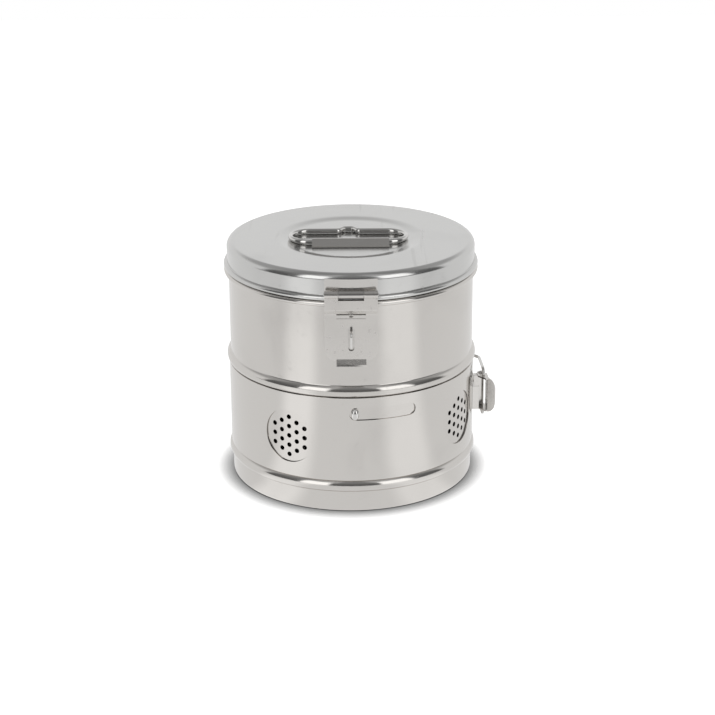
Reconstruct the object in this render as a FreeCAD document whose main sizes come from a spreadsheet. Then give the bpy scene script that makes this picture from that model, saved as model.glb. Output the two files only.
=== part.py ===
import FreeCAD, Part
import Sketcher
import math
import os

# Round steel dressing drum for steam sterilizing.
# +Z up, front towards -Y, origin at the centre of the flat base. All sizes in millimetres.

NODES_FOLDER = "parts"

doc = FreeCAD.newDocument("SterilizingDrum")
sheet = doc.addObject("Spreadsheet::Sheet", "Sizes")

SIZES = {
    # drum wall and its beads
    "wall_radius": 95.0,
    "steel": 0.8,
    "seat_gap": 0.05,
    "base_height": 16.3,
    "base_corner": 2.5,
    "bead_reach": 2.9,
    "pan_gap": 0.1,
    "low_bead_height": 9.2,
    "mid_bead_bottom": 93.0,
    "mid_bead_height": 9.6,
    "rim_bead": 4.15,
    "rim_reach": 3.5,
    "neck_drop": 1.0,
    "neck_clearance": 1.1,
    "overcut": 5.0,
    # lid
    "lid_top": 189.6,
    "skirt_height": 20.55,
    "part_line": 0.3,
    "lid_step": 1.0,
    "lid_corner": 5.0,
    "dish_outer": 60.0,
    "dish_floor": 47.0,
    "dish_depth": 2.0,
    # steam holes and the windows in the band
    "hole_clusters": 4,
    "cluster_angle": -30.0,
    "vent_height": 57.0,
    "hole_radius": 1.9,
    "hole_rise": 7.5,
    "hole_spacing": 6.5,
    "window_radius": 21.0,
    # sliding band with its slot and stud
    "band_gap": 0.3,
    "slot_drop": 12.1,
    "slot_height": 10.2,
    "slide_angle": 26.0,
    "stud_angle": 1.4,
    "stud_radius": 3.9,
    "stud_side_gap": 0.4,
    "stud_dome": 1.2,
    "band_opening": 3.0,
    "opening_angle": 106.0,
    # toggle latch on the band
    "latch_angle": 94.4,
    "pivot_reach": 7.5,
    "pivot_pin_radius": 1.5,
    "pin_head": 2.55,
    "pin_dome": 1.35,
    "pin_play": 0.05,
    "latch_barrel": 2.6,
    "latch_plate": 1.0,
    "latch_base_height": 19.4,
    "latch_base_front": 19.0,
    "latch_base_back": 7.0,
    "base_lip": 2.4,
    "lever_height": 28.0,
    "lever_sheet": 1.2,
    "lever_play": 0.3,
    "lever_web_reach": 3.4,
    "lever_length": 14.6,
    "lever_bend": 1.8,
    "tab_reach": 5.0,
    "tab_back": 2.2,
    "cheek_eye": 3.3,
    "bail_throw": 7.0,
    "bail_angle": 81.0,
    "bail_wire": 1.25,
    "bail_spread": 19.0,
    "bail_bend": 4.0,
    "bail_shoulder": 28.0,
    "shoulder_reach": 0.4,
    "hook_angle": 117.0,
    "hook_seat": 3.4,
    "hook_play": 0.45,
    "hook_riser": 1.2,
    "hook_height": 6.0,
    "hook_tail": 10.0,
    # front hasp
    "hasp_width": 39.0,
    "hasp_length": 52.1,
    "hasp_sheet": 1.0,
    "hasp_axis_step": 1.5,
    "hasp_axis_rise": 6.45,
    "hasp_barrel": 2.75,
    "hasp_pin": 1.25,
    "hasp_pin_end": 0.6,
    "centre_knuckle": 18.4,
    "knuckle_gap": 0.4,
    "notch_drop": 1.2,
    "hasp_face_step": 0.3,
    "hasp_stand_off": 2.5,
    "kink_drop": 0.6,
    "kink_height": 3.8,
    "hasp_corner": 3.0,
    "rib_height": 3.0,
    "rib_reach": 0.6,
    "lip_width": 21.4,
    "lip_reach": 7.4,
    "lip_drop": 3.2,
    "slit_drop": 16.2,
    "slit_height": 0.9,
    "slit_width": 21.4,
    "peep_hole": 1.0,
    "lock_slot_drop": 25.5,
    "lock_slot_length": 19.0,
    "lock_slot_width": 4.2,
    "hasp_leaf_rise": 1.9,
    # catch strip and staple behind the hasp
    "catch_width": 21.0,
    "catch_drop": 1.6,
    "catch_length": 35.0,
    "catch_sheet": 0.8,
    "ridge_width": 18.0,
    "ridge_height": 1.0,
    "ridge_reach": 0.3,
    "nib_width": 3.0,
    "nib_height": 0.5,
    "nib_reach": 0.4,
    "staple_wire": 1.0,
    "staple_bend": 3.0,
    "staple_height": 12.6,
    "staple_reach": 10.4,
    # lid hinge at the back
    "lid_axis_step": 3.4,
    "lid_axis_rise": 1.95,
    "lid_barrel": 2.75,
    "lid_pin": 1.3,
    "lid_pin_end": 0.8,
    "lid_hinge_width": 44.0,
    "lid_knuckle": 20.0,
    "lid_leaf_lift": 1.5,
    "lid_leaf_length": 24.6,
    "lid_leaf_sheet": 1.0,
    "lid_notch_drop": 0.6,
    "lid_web_rise": 0.3,
    "leaf_clearance": 0.4,
    "step_drop": 1.5,
    "step_height": 4.0,
    # folding handle on the lid
    "handle_wire": 2.0,
    "handle_length": 93.0,
    "handle_depth": 29.0,
    "handle_front": 17.0,
    "handle_kink_width": 18.0,
    "handle_kink": 7.0,
    "kink_bend": 3.0,
    "kink_ramp": 3.85,
    "strap_length": 59.0,
    "strap_sheet": 0.8,
    "strap_play": 0.08,
    "strap_flange": 9.0,
}

for row, (word, number) in enumerate(SIZES.items(), start=1):
    sheet.set("A%d" % row, word)
    sheet.set("B%d" % row, str(number))
    sheet.setAlias("B%d" % row, word)
doc.recompute()


class Size:
    # A length or angle: its present number, and the sheet formula that gives it.
    def __init__(self, number, formula):
        self.number = number
        self.formula = formula

    def __add__(self, other):
        other = as_size(other)
        return Size(self.number + other.number, "(%s + %s)" % (self.formula, other.formula))

    def __sub__(self, other):
        other = as_size(other)
        return Size(self.number - other.number, "(%s - %s)" % (self.formula, other.formula))

    def __mul__(self, other):
        other = as_size(other)
        return Size(self.number * other.number, "(%s * %s)" % (self.formula, other.formula))

    def __truediv__(self, other):
        other = as_size(other)
        return Size(self.number / other.number, "(%s / %s)" % (self.formula, other.formula))

    def __neg__(self):
        return Size(-self.number, "(0 - %s)" % self.formula)


def as_size(value):
    if isinstance(value, Size):
        return value
    return Size(float(value), repr(float(value)))


def size(word):
    return Size(float(sheet.get(word)), "Sizes." + word)


def root(value):
    return Size(math.sqrt(value.number), "sqrt(%s)" % value.formula)


def sine(value):
    return Size(math.sin(math.radians(value.number)), "sin(%s * 1deg)" % value.formula)


def cosine(value):
    return Size(math.cos(math.radians(value.number)), "cos(%s * 1deg)" % value.formula)


def sagitta_radius(chord, rise):
    return (chord * chord / 4 + rise * rise) / (rise * 2)


# Plain shape helpers

def new_body(label):
    body = doc.addObject("PartDesign::Body", label)
    body.Label = label
    return body


def origin_feature(body, role):
    for feature in body.Origin.OriginFeatures:
        if feature.Role == role:
            return feature
    raise ValueError(role)


def new_sketch(body, name, plane, turn=None, lift=None):
    sketch = body.newObject("Sketcher::SketchObject", name)
    sketch.AttachmentSupport = [(origin_feature(body, plane), "")]
    sketch.MapMode = "FlatFace"
    if turn is not None:
        turned = FreeCAD.Rotation(FreeCAD.Vector(0, 1, 0), turn.number)
        sketch.AttachmentOffset = FreeCAD.Placement(FreeCAD.Vector(), turned)
        sketch.setExpression(".AttachmentOffset.Rotation.Angle", turn.formula + " * 1deg")
    if lift is not None:
        sketch.setExpression(".AttachmentOffset.Base.z", lift.formula)
    return sketch


def hold(sketch, axis, item, point, value):
    # Fixes one coordinate of a point of the sketch to a size of the sheet.
    value = as_size(value)
    number = sketch.addConstraint(Sketcher.Constraint(axis, -1, 1, item, point, value.number))
    if "Sizes" in value.formula:
        sketch.setExpression("Constraints[%d]" % number, value.formula)


def closed_outline(sketch, corners):
    # A corner is (x, y), or (x, y, centre_x, centre_y, turn) when an arc leads to it;
    # turn is +1 for anticlockwise and -1 for clockwise.
    ends = []
    spots = [FreeCAD.Vector(as_size(c[0]).number, as_size(c[1]).number, 0) for c in corners]
    for i, corner in enumerate(corners):
        start = spots[i - 1]
        end = spots[i]
        if len(corner) == 2:
            item = sketch.addGeometry(Part.LineSegment(start, end))
            ends.append((item, 1, 2))
            continue
        centre = FreeCAD.Vector(as_size(corner[2]).number, as_size(corner[3]).number, 0)
        from_point, to_point = (start, end) if corner[4] > 0 else (end, start)
        a = math.atan2(from_point.y - centre.y, from_point.x - centre.x)
        b = math.atan2(to_point.y - centre.y, to_point.x - centre.x)
        if b <= a:
            b = b + 2 * math.pi
        circle = Part.Circle(centre, FreeCAD.Vector(0, 0, 1), (start - centre).Length)
        item = sketch.addGeometry(Part.ArcOfCircle(circle, a, b))
        ends.append((item, 1, 2) if corner[4] > 0 else (item, 2, 1))
    for i, corner in enumerate(corners):
        item, _, tail = ends[i]
        following, head, _ = ends[(i + 1) % len(corners)]
        sketch.addConstraint(Sketcher.Constraint("Coincident", item, tail, following, head))
        hold(sketch, "DistanceX", item, tail, corner[0])
        hold(sketch, "DistanceY", item, tail, corner[1])
    for i, corner in enumerate(corners):
        if len(corner) > 2:
            chord = spots[i] - spots[i - 1]
            if abs(chord.y) >= abs(chord.x):
                hold(sketch, "DistanceX", ends[i][0], 3, corner[2])
            else:
                hold(sketch, "DistanceY", ends[i][0], 3, corner[3])


def circle_at(sketch, x, y, radius):
    x, y, radius = as_size(x), as_size(y), as_size(radius)
    centre = FreeCAD.Vector(x.number, y.number, 0)
    item = sketch.addGeometry(Part.Circle(centre, FreeCAD.Vector(0, 0, 1), radius.number))
    hold(sketch, "DistanceX", item, 3, x)
    hold(sketch, "DistanceY", item, 3, y)
    number = sketch.addConstraint(Sketcher.Constraint("Radius", item, radius.number))
    sketch.setExpression("Constraints[%d]" % number, radius.formula)


def rounded_slot(sketch, x, y, half_length, half_height, upright=False):
    # A slot with round ends, centred on x, y.
    run = half_length - half_height
    if upright:
        corners = [
            (x + half_height, y + run),
            (x - half_height, y + run, x, y + run, 1),
            (x - half_height, y - run),
            (x + half_height, y - run, x, y - run, 1),
        ]
    else:
        corners = [
            (x - run, y + half_height),
            (x - run, y - half_height, x - run, y, 1),
            (x + run, y - half_height),
            (x + run, y + half_height, x + run, y, 1),
        ]
    closed_outline(sketch, corners)


def rectangle(sketch, left, bottom, right, top):
    closed_outline(sketch, [(left, bottom), (right, bottom), (right, top), (left, top)])


def revolve(body, sketch, name, cut=False):
    kind = "PartDesign::Groove" if cut else "PartDesign::Revolution"
    feature = body.newObject(kind, name)
    feature.Profile = sketch
    feature.ReferenceAxis = (sketch, ["V_Axis"])
    feature.Angle = 360
    doc.recompute()
    return feature


def pad(body, sketch, name, length, middle=True):
    feature = body.newObject("PartDesign::Pad", name)
    feature.Profile = sketch
    feature.setExpression("Length", as_size(length).formula)
    if middle:
        feature.SideType = "Symmetric"
    doc.recompute()
    return feature


def pocket(body, sketch, name, length, middle=False, outward=True):
    before = body.Shape.Volume
    feature = body.newObject("PartDesign::Pocket", name)
    feature.Profile = sketch
    feature.setExpression("Length", as_size(length).formula)
    if middle:
        feature.SideType = "Symmetric"
    elif outward:
        feature.Reversed = True
    doc.recompute()
    if not feature.Shape.Volume < before:
        raise RuntimeError(name + " removed nothing")
    return feature


def polar_pattern(body, feature, name, count):
    pattern = body.newObject("PartDesign::PolarPattern", name)
    pattern.Originals = [feature]
    pattern.Axis = (origin_feature(body, "Z_Axis"), [""])
    pattern.Angle = 360
    pattern.setExpression("Occurrences", count.formula)
    body.Tip = pattern
    doc.recompute()
    return pattern


def turned_to(item, azimuth):
    # Azimuth 0 is the front, azimuth 90 is +X: a piece drawn along +X is turned by azimuth - 90.
    turn = azimuth - 90
    upright = FreeCAD.Vector(0, 0, 1)
    item.Placement = FreeCAD.Placement(FreeCAD.Vector(), FreeCAD.Rotation(upright, turn.number))
    item.setExpression(".Placement.Rotation.Angle", turn.formula + " * 1deg")


# Sizes worked out from the driving ones

wall_radius = size("wall_radius")
steel = size("steel")
wall_inner = wall_radius - steel
seat_gap = size("seat_gap")
overcut = size("overcut")
low_bead_bottom = size("base_height") + size("pan_gap")
low_bead_top = low_bead_bottom + size("low_bead_height")
mid_bead_bottom = size("mid_bead_bottom")
mid_bead_top = mid_bead_bottom + size("mid_bead_height")
lid_top = size("lid_top")
dish_top = lid_top - size("dish_depth")
skirt_top = lid_top - size("lid_corner")
lid_bottom = lid_top - size("skirt_height")
lid_radius = wall_radius + size("lid_step")
lid_inner = lid_radius - steel
rim_radius = size("rim_bead") / 2
rim_top = lid_bottom - size("part_line")
rim_bottom = rim_top - size("rim_bead")
rim_outer = wall_radius + size("rim_reach")
rim_centre = rim_outer - rim_radius
neck_radius = wall_radius - size("neck_drop")
neck_inner = neck_radius - steel
neck_top = skirt_top - size("neck_clearance")
band_inner = wall_radius + size("band_gap")
band_outer = band_inner + steel
band_bottom = low_bead_top + size("band_gap")
band_top = mid_bead_bottom - size("band_gap")
band_middle = (band_bottom + band_top) / 2
slot_centre = band_top - size("slot_drop")


def bead_arc(bottom, top):
    # Centre of a formed bead in the wall, and where its inner face leaves the wall.
    radius = sagitta_radius(top - bottom, size("bead_reach"))
    centre_r = wall_radius + size("bead_reach") - radius
    centre_z = (bottom + top) / 2
    inner_radius = radius - steel
    step_in = wall_inner - centre_r
    half = root(inner_radius * inner_radius - step_in * step_in)
    return {"r": centre_r, "z": centre_z, "low": centre_z - half, "high": centre_z + half}


# Drum shell: one sheet with two beads, a rolled rim and a neck for the lid

def make_drum_shell():
    body = new_body("drum_shell")
    low = bead_arc(low_bead_bottom, low_bead_top)
    mid = bead_arc(mid_bead_bottom, mid_bead_top)
    foot_outer = wall_inner - seat_gap
    foot_inner = foot_outer - steel
    foot_bottom = size("base_corner") + seat_gap
    section = new_sketch(body, "drum_section", "XZ_Plane")
    closed_outline(section, [
        (foot_inner, foot_bottom),
        (foot_outer, foot_bottom),
        (foot_outer, low_bead_bottom),
        (wall_radius, low_bead_bottom),
        (wall_radius, low_bead_top, low["r"], low["z"], 1),
        (wall_radius, mid_bead_bottom),
        (wall_radius, mid_bead_top, mid["r"], mid["z"], 1),
        (wall_radius, rim_bottom),
        (rim_centre, rim_bottom),
        (rim_centre, rim_top, rim_centre, (rim_bottom + rim_top) / 2, 1),
        (neck_radius, rim_top),
        (neck_radius, neck_top),
        (neck_inner, neck_top),
        (neck_inner, rim_top - steel),
        (rim_centre, rim_top - steel),
        (rim_centre, rim_bottom + steel, rim_centre, (rim_bottom + rim_top) / 2, -1),
        (wall_inner, rim_bottom + steel),
        (wall_inner, mid["high"]),
        (wall_inner, mid["low"], mid["r"], mid["z"], -1),
        (wall_inner, low["high"]),
        (wall_inner, low["low"], low["r"], low["z"], -1),
        (foot_inner, low["low"]),
    ])
    revolve(body, section, "drum_wall")
    holes = new_sketch(body, "steam_holes", "XZ_Plane", turn=size("cluster_angle"))
    for column in range(-2, 3):
        count = 5 - abs(column)
        for row in range(count):
            rise = row - (count - 1) / 2
            x = size("hole_spacing") * column
            y = size("vent_height") + size("hole_rise") * rise
            circle_at(holes, x, y, size("hole_radius"))
    cluster = pocket(body, holes, "steam_hole_cluster", band_outer)
    polar_pattern(body, cluster, "steam_hole_clusters", size("hole_clusters"))
    return body


# Base pan: a flat pressed pan whose skirt holds the foot of the drum wall

def make_base_pan():
    body = new_body("base_pan")
    corner = size("base_corner")
    inner_corner = corner - steel
    section = new_sketch(body, "pan_section", "XZ_Plane")
    closed_outline(section, [
        (0, 0),
        (wall_radius - corner, 0),
        (wall_radius, corner, wall_radius - corner, corner, 1),
        (wall_radius, size("base_height")),
        (wall_inner, size("base_height")),
        (wall_inner, corner),
        (wall_inner - inner_corner, steel, wall_inner - inner_corner, corner, -1),
        (0, steel),
    ])
    revolve(body, section, "pan")
    return body


# Lid: flat top with a shallow dish, straight skirt and a rolled edge

def make_lid_shell():
    body = new_body("lid_shell")
    corner = size("lid_corner")
    inner_corner = corner - steel
    curl = rim_radius
    curl_middle = lid_bottom + curl
    curl_centre = rim_outer - curl
    curl_top = lid_bottom + curl * 2
    section = new_sketch(body, "lid_section", "XZ_Plane")
    closed_outline(section, [
        (0, dish_top - steel),
        (0, dish_top),
        (size("dish_floor"), dish_top),
        (size("dish_outer"), lid_top),
        (lid_radius - corner, lid_top),
        (lid_radius, lid_top - corner, lid_radius - corner, lid_top - corner, -1),
        (lid_radius, curl_top),
        (curl_centre, curl_top),
        (curl_centre, lid_bottom, curl_centre, curl_middle, -1),
        (lid_inner, lid_bottom),
        (lid_inner, lid_top - corner),
        (lid_radius - corner, lid_top - steel, lid_radius - corner, lid_top - corner, 1),
        (size("dish_outer"), lid_top - steel),
        (size("dish_floor"), dish_top - steel),
    ])
    revolve(body, section, "lid")
    return body


# Stud that the slot of the band slides along: a short post with a domed head

def make_slide_stop_stud():
    body = new_body("slide_stop_stud")
    radius = size("stud_radius")
    foot = wall_radius + seat_gap
    brim = band_outer + seat_gap
    dome = size("stud_dome")
    dome_radius = sagitta_radius(radius * 2, dome)
    section = new_sketch(body, "stud_section", "XY_Plane")
    closed_outline(section, [
        (foot, 0),
        (brim + dome, 0),
        (brim, radius, brim + dome - dome_radius, 0, 1),
        (foot, radius),
    ])
    feature = body.newObject("PartDesign::Revolution", "stud")
    feature.Profile = section
    feature.ReferenceAxis = (section, ["H_Axis"])
    feature.Angle = 360
    doc.recompute()
    turned_to(body, size("stud_angle"))
    body.setExpression(".Placement.Base.z", slot_centre.formula)
    return body


# Sliding band: split ring with four round windows and the slot for the stud

def make_sliding_band():
    body = new_body("sliding_band")
    section = new_sketch(body, "band_section", "XZ_Plane")
    rectangle(section, band_inner, band_bottom, band_outer, band_top)
    revolve(body, section, "band")
    slot_end = size("stud_radius") + size("stud_side_gap")
    slot_half_turn = size("slide_angle") / 2 + slot_end / band_outer * (180 / math.pi)
    slot_turn = size("stud_angle") + size("slide_angle") / 2
    slot_sketch = new_sketch(body, "slot_outline", "XZ_Plane", turn=slot_turn)
    slot_half = band_outer * sine(slot_half_turn)
    rounded_slot(slot_sketch, as_size(0), slot_centre, slot_half, size("slot_height") / 2)
    pocket(body, slot_sketch, "slot", band_outer + overcut)
    gap_sketch = new_sketch(body, "opening_outline", "XZ_Plane", turn=size("opening_angle"))
    half_gap = size("band_opening") / 2
    rectangle(gap_sketch, -half_gap, band_bottom - overcut, half_gap, band_top + overcut)
    pocket(body, gap_sketch, "opening", band_outer + overcut)
    window_sketch = new_sketch(body, "window_outline", "XZ_Plane", turn=size("cluster_angle"))
    circle_at(window_sketch, as_size(0), size("vent_height"), size("window_radius"))
    window = pocket(body, window_sketch, "window", band_outer + overcut)
    polar_pattern(body, window, "windows", size("hole_clusters"))
    return body


# Toggle latch. Its pieces are drawn in plan with the lever's pivot on the +X axis and then turned
# round the drum. x runs outwards from the drum axis, y runs round the drum towards the back.

latch_turn = size("latch_angle")
pivot_x = band_outer + size("pivot_reach")
latch_pin = size("pivot_pin_radius")
bail_wire = size("bail_wire")
bail_x = pivot_x + size("bail_throw") * cosine(size("bail_angle"))
bail_y = -size("bail_throw") * sine(size("bail_angle"))
lever_half = size("lever_height") / 2
cheek_inner = lever_half - size("lever_sheet")
hook_angle = size("hook_angle") - latch_turn
hook_radius = band_outer + size("hook_seat")
plate_outer = band_outer + seat_gap + size("latch_plate")


def on_circle(radius, y):
    return root(radius * radius - y * y)


def make_latch_base():
    body = new_body("latch_base")
    inner = band_outer + seat_gap
    front = -size("latch_base_front")
    back = size("latch_base_back")
    lip_top = plate_outer + size("base_lip")
    plan = new_sketch(body, "base_plan", "XY_Plane", lift=band_middle)
    closed_outline(plan, [
        (lip_top, front),
        (lip_top, front + size("latch_plate")),
        (on_circle(plate_outer, front + size("latch_plate")), front + size("latch_plate")),
        (on_circle(plate_outer, back), back, 0, 0, 1),
        (on_circle(inner, back), back),
        (on_circle(inner, front), front, 0, 0, -1),
    ])
    pad(body, plan, "base_plate", size("latch_base_height"))
    post = new_sketch(body, "post_plan", "XY_Plane", lift=band_middle)
    half = size("latch_barrel")
    closed_outline(post, [
        (inner + size("latch_plate") / 2, -half),
        (pivot_x, -half),
        (pivot_x, half, pivot_x, 0, 1),
        (inner + size("latch_plate") / 2, half),
    ])
    pad(body, post, "pivot_barrel", (cheek_inner - size("lever_play")) * 2)
    bore = new_sketch(body, "bore_plan", "XY_Plane", lift=band_middle)
    circle_at(bore, pivot_x, as_size(0), latch_pin + size("pin_play"))
    pocket(body, bore, "pivot_bore", size("lever_height") * 2, middle=True)
    turned_to(body, latch_turn)
    return body


def make_latch_pivot_pin():
    body = new_body("latch_pivot_pin")
    head = size("pin_head")
    dome = size("pin_dome")
    dome_radius = sagitta_radius(head * 2, dome)
    reach = lever_half + seat_gap
    section = new_sketch(body, "pin_section", "XZ_Plane")
    closed_outline(section, [
        (0, -reach - dome),
        (head, -reach, 0, -reach - dome + dome_radius, 1),
        (latch_pin, -reach),
        (latch_pin, reach),
        (head, reach),
        (0, reach + dome, 0, reach + dome - dome_radius, 1),
    ])
    revolve(body, section, "pin")
    body.setExpression(".Placement.Base.x", (pivot_x * sine(latch_turn)).formula)
    body.setExpression(".Placement.Base.y", (-pivot_x * cosine(latch_turn)).formula)
    body.setExpression(".Placement.Base.z", band_middle.formula)
    return body


def make_latch_lever():
    body = new_body("latch_lever")
    sheet_size = size("lever_sheet")
    eye = size("cheek_eye")
    web_in = pivot_x + size("lever_web_reach")
    web_out = web_in + sheet_size
    tail = -size("lever_length")
    tip_x = web_out + size("tab_reach")
    tip_y = tail - size("tab_back")
    plan = new_sketch(body, "lever_plan", "XY_Plane", lift=band_middle)
    closed_outline(plan, [
        (pivot_x - eye, 0, pivot_x, 0, 1),
        (pivot_x - eye, bail_y),
        (web_in - sheet_size, tail),
        (web_in, tail),
        (tip_x - sheet_size, tip_y),
        (tip_x, tip_y + sheet_size),
        (web_out, tail + size("lever_bend")),
        (web_out, -eye / 2),
        (pivot_x + eye, -eye / 2),
        (pivot_x + eye, 0),
    ])
    pad(body, plan, "lever_blank", size("lever_height"))
    inside = new_sketch(body, "channel_plan", "XY_Plane", lift=band_middle)
    rectangle(inside, pivot_x - eye - overcut, tip_y - overcut, web_in, eye + overcut)
    pocket(body, inside, "channel", cheek_inner * 2, middle=True)
    bores = new_sketch(body, "eye_bores", "XY_Plane", lift=band_middle)
    circle_at(bores, pivot_x, as_size(0), latch_pin + size("pin_play"))
    circle_at(bores, bail_x, bail_y, bail_wire + size("pin_play"))
    pocket(body, bores, "eyes", size("lever_height") * 2, middle=True)
    turned_to(body, latch_turn)
    return body


def make_latch_wire_bail():
    # One bent wire: two hooked ends in the lever's cheeks, two legs round the drum, one cross bar.
    label = "latch_wire_bail"
    wire = bail_wire.number
    spread = size("bail_spread").number
    bend = size("bail_bend").number
    start = FreeCAD.Vector(bail_x.number, bail_y.number, 0)
    angle = math.radians(hook_angle.number)
    bar = FreeCAD.Vector(hook_radius.number * math.cos(angle), hook_radius.number * math.sin(angle), 0)
    shoulder = start + FreeCAD.Vector(size("shoulder_reach").number, size("bail_shoulder").number, 0)
    inner_end = cheek_inner.number
    stops = [
        start + FreeCAD.Vector(0, 0, -inner_end),
        start + FreeCAD.Vector(0, 0, -spread),
        shoulder + FreeCAD.Vector(0, 0, -spread),
        bar + FreeCAD.Vector(0, 0, -spread),
        bar + FreeCAD.Vector(0, 0, spread),
        shoulder + FreeCAD.Vector(0, 0, spread),
        start + FreeCAD.Vector(0, 0, spread),
        start + FreeCAD.Vector(0, 0, inner_end),
    ]
    path = rounded_path(stops, bend)
    feature = doc.addObject("Part::Feature", label)
    feature.Label = label
    feature.Shape = tube_along(path, wire)
    lift = FreeCAD.Vector(0, 0, band_middle.number)
    turn = FreeCAD.Rotation(FreeCAD.Vector(0, 0, 1), latch_turn.number - 90)
    feature.Placement = FreeCAD.Placement(lift, turn)
    return feature


def rounded_path(stops, bend):
    # Straight runs between the stops, joined by tangent arcs of the bend radius.
    edges = []
    last = stops[0]
    for before, corner, after in zip(stops, stops[1:], stops[2:]):
        into = (corner - before).normalize()
        out = (after - corner).normalize()
        turn = into.getAngle(out)
        if turn < 0.001:
            continue
        cut = bend * math.tan(turn / 2)
        enter = corner - into * cut
        leave = corner + out * cut
        middle_line = (out - into).normalize()
        centre = corner + middle_line * (bend / math.cos(turn / 2))
        middle = centre - middle_line * bend
        edges.append(Part.LineSegment(last, enter).toShape())
        edges.append(Part.Arc(enter, middle, leave).toShape())
        last = leave
    edges.append(Part.LineSegment(last, stops[-1]).toShape())
    return Part.Wire(edges)


def tube_along(path, radius):
    first = path.Edges[0]
    start = first.valueAt(first.FirstParameter)
    direction = first.tangentAt(first.FirstParameter)
    ring = Part.Wire([Part.makeCircle(radius, start, direction)])
    solid = path.makePipeShell([ring], True, True, 2)
    expected = math.pi * radius * radius * path.Length
    if abs(solid.Volume - expected) > 0.03 * expected:
        raise RuntimeError("a bent wire has the wrong volume")
    return solid


def make_catch_hook():
    body = new_body("catch_hook")
    inner = band_outer + seat_gap
    # The riser stands just in front of the bail's cross bar, square to the band.
    riser_back = -bail_wire - size("hook_play")
    riser_front = riser_back - size("hook_riser")
    top = inner + size("hook_height")
    back = size("hook_tail")
    plan = new_sketch(body, "hook_plan", "XY_Plane", lift=band_middle)
    closed_outline(plan, [
        (top, riser_front),
        (top, riser_back),
        (on_circle(plate_outer, riser_back), riser_back),
        (on_circle(plate_outer, back), back, 0, 0, 1),
        (on_circle(inner, back), back),
        (on_circle(inner, riser_front), riser_front, 0, 0, -1),
    ])
    pad(body, plan, "hook", size("latch_base_height"))
    turned_to(body, size("hook_angle"))
    return body


# Hasp pieces are drawn from the side: x of the sketch runs towards the back, y runs up.

hasp_out = rim_outer + size("hasp_axis_step")
hasp_axis_z = lid_bottom + size("hasp_axis_rise")
hasp_barrel = size("hasp_barrel")
hasp_bore = size("hasp_pin") + size("pin_play")
hasp_bottom = hasp_axis_z - size("hasp_length")
hasp_front = wall_radius + size("hasp_stand_off")
slit_z = hasp_axis_z - size("slit_drop")
slit_half = size("slit_height") / 2
rib_top = slit_z - slit_half
rib_z = rib_top - size("rib_height") / 2
lock_slot_half = size("lock_slot_length") / 2
lock_slot_z = hasp_axis_z - size("lock_slot_drop") - lock_slot_half
catch_outer = wall_radius + seat_gap + size("catch_sheet")


def make_hasp_plate():
    body = new_body("hasp_plate")
    gauge = size("hasp_sheet")
    high_face = -(hasp_out + size("hasp_face_step"))
    low_face = -hasp_front
    kink_top = rim_bottom - size("kink_drop")
    kink_bottom = kink_top - size("kink_height")
    width = size("hasp_width")
    rib_radius = sagitta_radius(size("rib_height"), size("rib_reach"))
    rib_y = low_face - size("rib_reach") + rib_radius
    rib_inner = rib_radius - gauge
    rib_step = low_face + gauge - rib_y
    rib_half = root(rib_inner * rib_inner - rib_step * rib_step)
    side = new_sketch(body, "plate_side", "YZ_Plane")
    closed_outline(side, [
        (high_face, hasp_axis_z),
        (high_face, kink_top),
        (low_face, kink_bottom),
        (low_face, rib_top),
        (low_face, rib_top - size("rib_height"), rib_y, rib_z, 1),
        (low_face, hasp_bottom),
        (low_face + gauge, hasp_bottom),
        (low_face + gauge, rib_z - rib_half),
        (low_face + gauge, rib_z + rib_half, rib_y, rib_z, -1),
        (low_face + gauge, kink_bottom + gauge / 4),
        (high_face + gauge, kink_top + gauge / 4),
        (high_face + gauge, hasp_axis_z),
    ])
    pad(body, side, "plate", width)
    ring = new_sketch(body, "knuckle_side", "YZ_Plane")
    circle_at(ring, -hasp_out, hasp_axis_z, hasp_barrel)
    pad(body, ring, "knuckles", width)
    bore = new_sketch(body, "bore_side", "YZ_Plane")
    circle_at(bore, -hasp_out, hasp_axis_z, hasp_bore)
    pocket(body, bore, "pin_bore", width * 2, middle=True)
    notch_half = size("centre_knuckle") / 2 + size("knuckle_gap")
    notch_bottom = hasp_axis_z - hasp_barrel - size("notch_drop")
    notch = new_sketch(body, "notch_front", "XZ_Plane")
    rectangle(notch, -notch_half, notch_bottom, notch_half, hasp_axis_z + hasp_barrel + overcut)
    pocket(body, notch, "centre_notch", hasp_out + hasp_barrel + overcut)
    lip = new_sketch(body, "lip_side", "YZ_Plane")
    lip_tip = low_face - size("lip_reach")
    lip_low = hasp_bottom - size("lip_drop")
    closed_outline(lip, [
        (low_face, hasp_bottom + gauge),
        (lip_tip, lip_low + gauge),
        (lip_tip, lip_low),
        (low_face + gauge / 2, hasp_bottom),
        (low_face + gauge / 2, hasp_bottom + gauge),
    ])
    pad(body, lip, "finger_lip", size("lip_width"))
    cuts = new_sketch(body, "slots_front", "XZ_Plane")
    slit_edge = size("slit_width") / 2
    rounded_slot(cuts, as_size(0), lock_slot_z, lock_slot_half, size("lock_slot_width") / 2, upright=True)
    rectangle(cuts, -slit_edge, slit_z - slit_half, slit_edge, slit_z + slit_half)
    circle_at(cuts, as_size(0), rib_z, size("peep_hole"))
    pocket(body, cuts, "slot_slit_and_hole", hasp_out + hasp_barrel + overcut)
    corners = new_sketch(body, "corner_cuts", "XZ_Plane")
    edge = width / 2
    round_off = size("hasp_corner")
    below = hasp_bottom - overcut
    for way in (-1, 1):
        closed_outline(corners, [
            ((edge + overcut) * way, below),
            ((edge + overcut) * way, hasp_bottom + round_off),
            (edge * way, hasp_bottom + round_off),
            ((edge - round_off) * way, hasp_bottom,
             (edge - round_off) * way, hasp_bottom + round_off, -way),
            ((edge - round_off) * way, below),
        ])
    pocket(body, corners, "rounded_corners", hasp_out + hasp_barrel + overcut)
    return body


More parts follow.
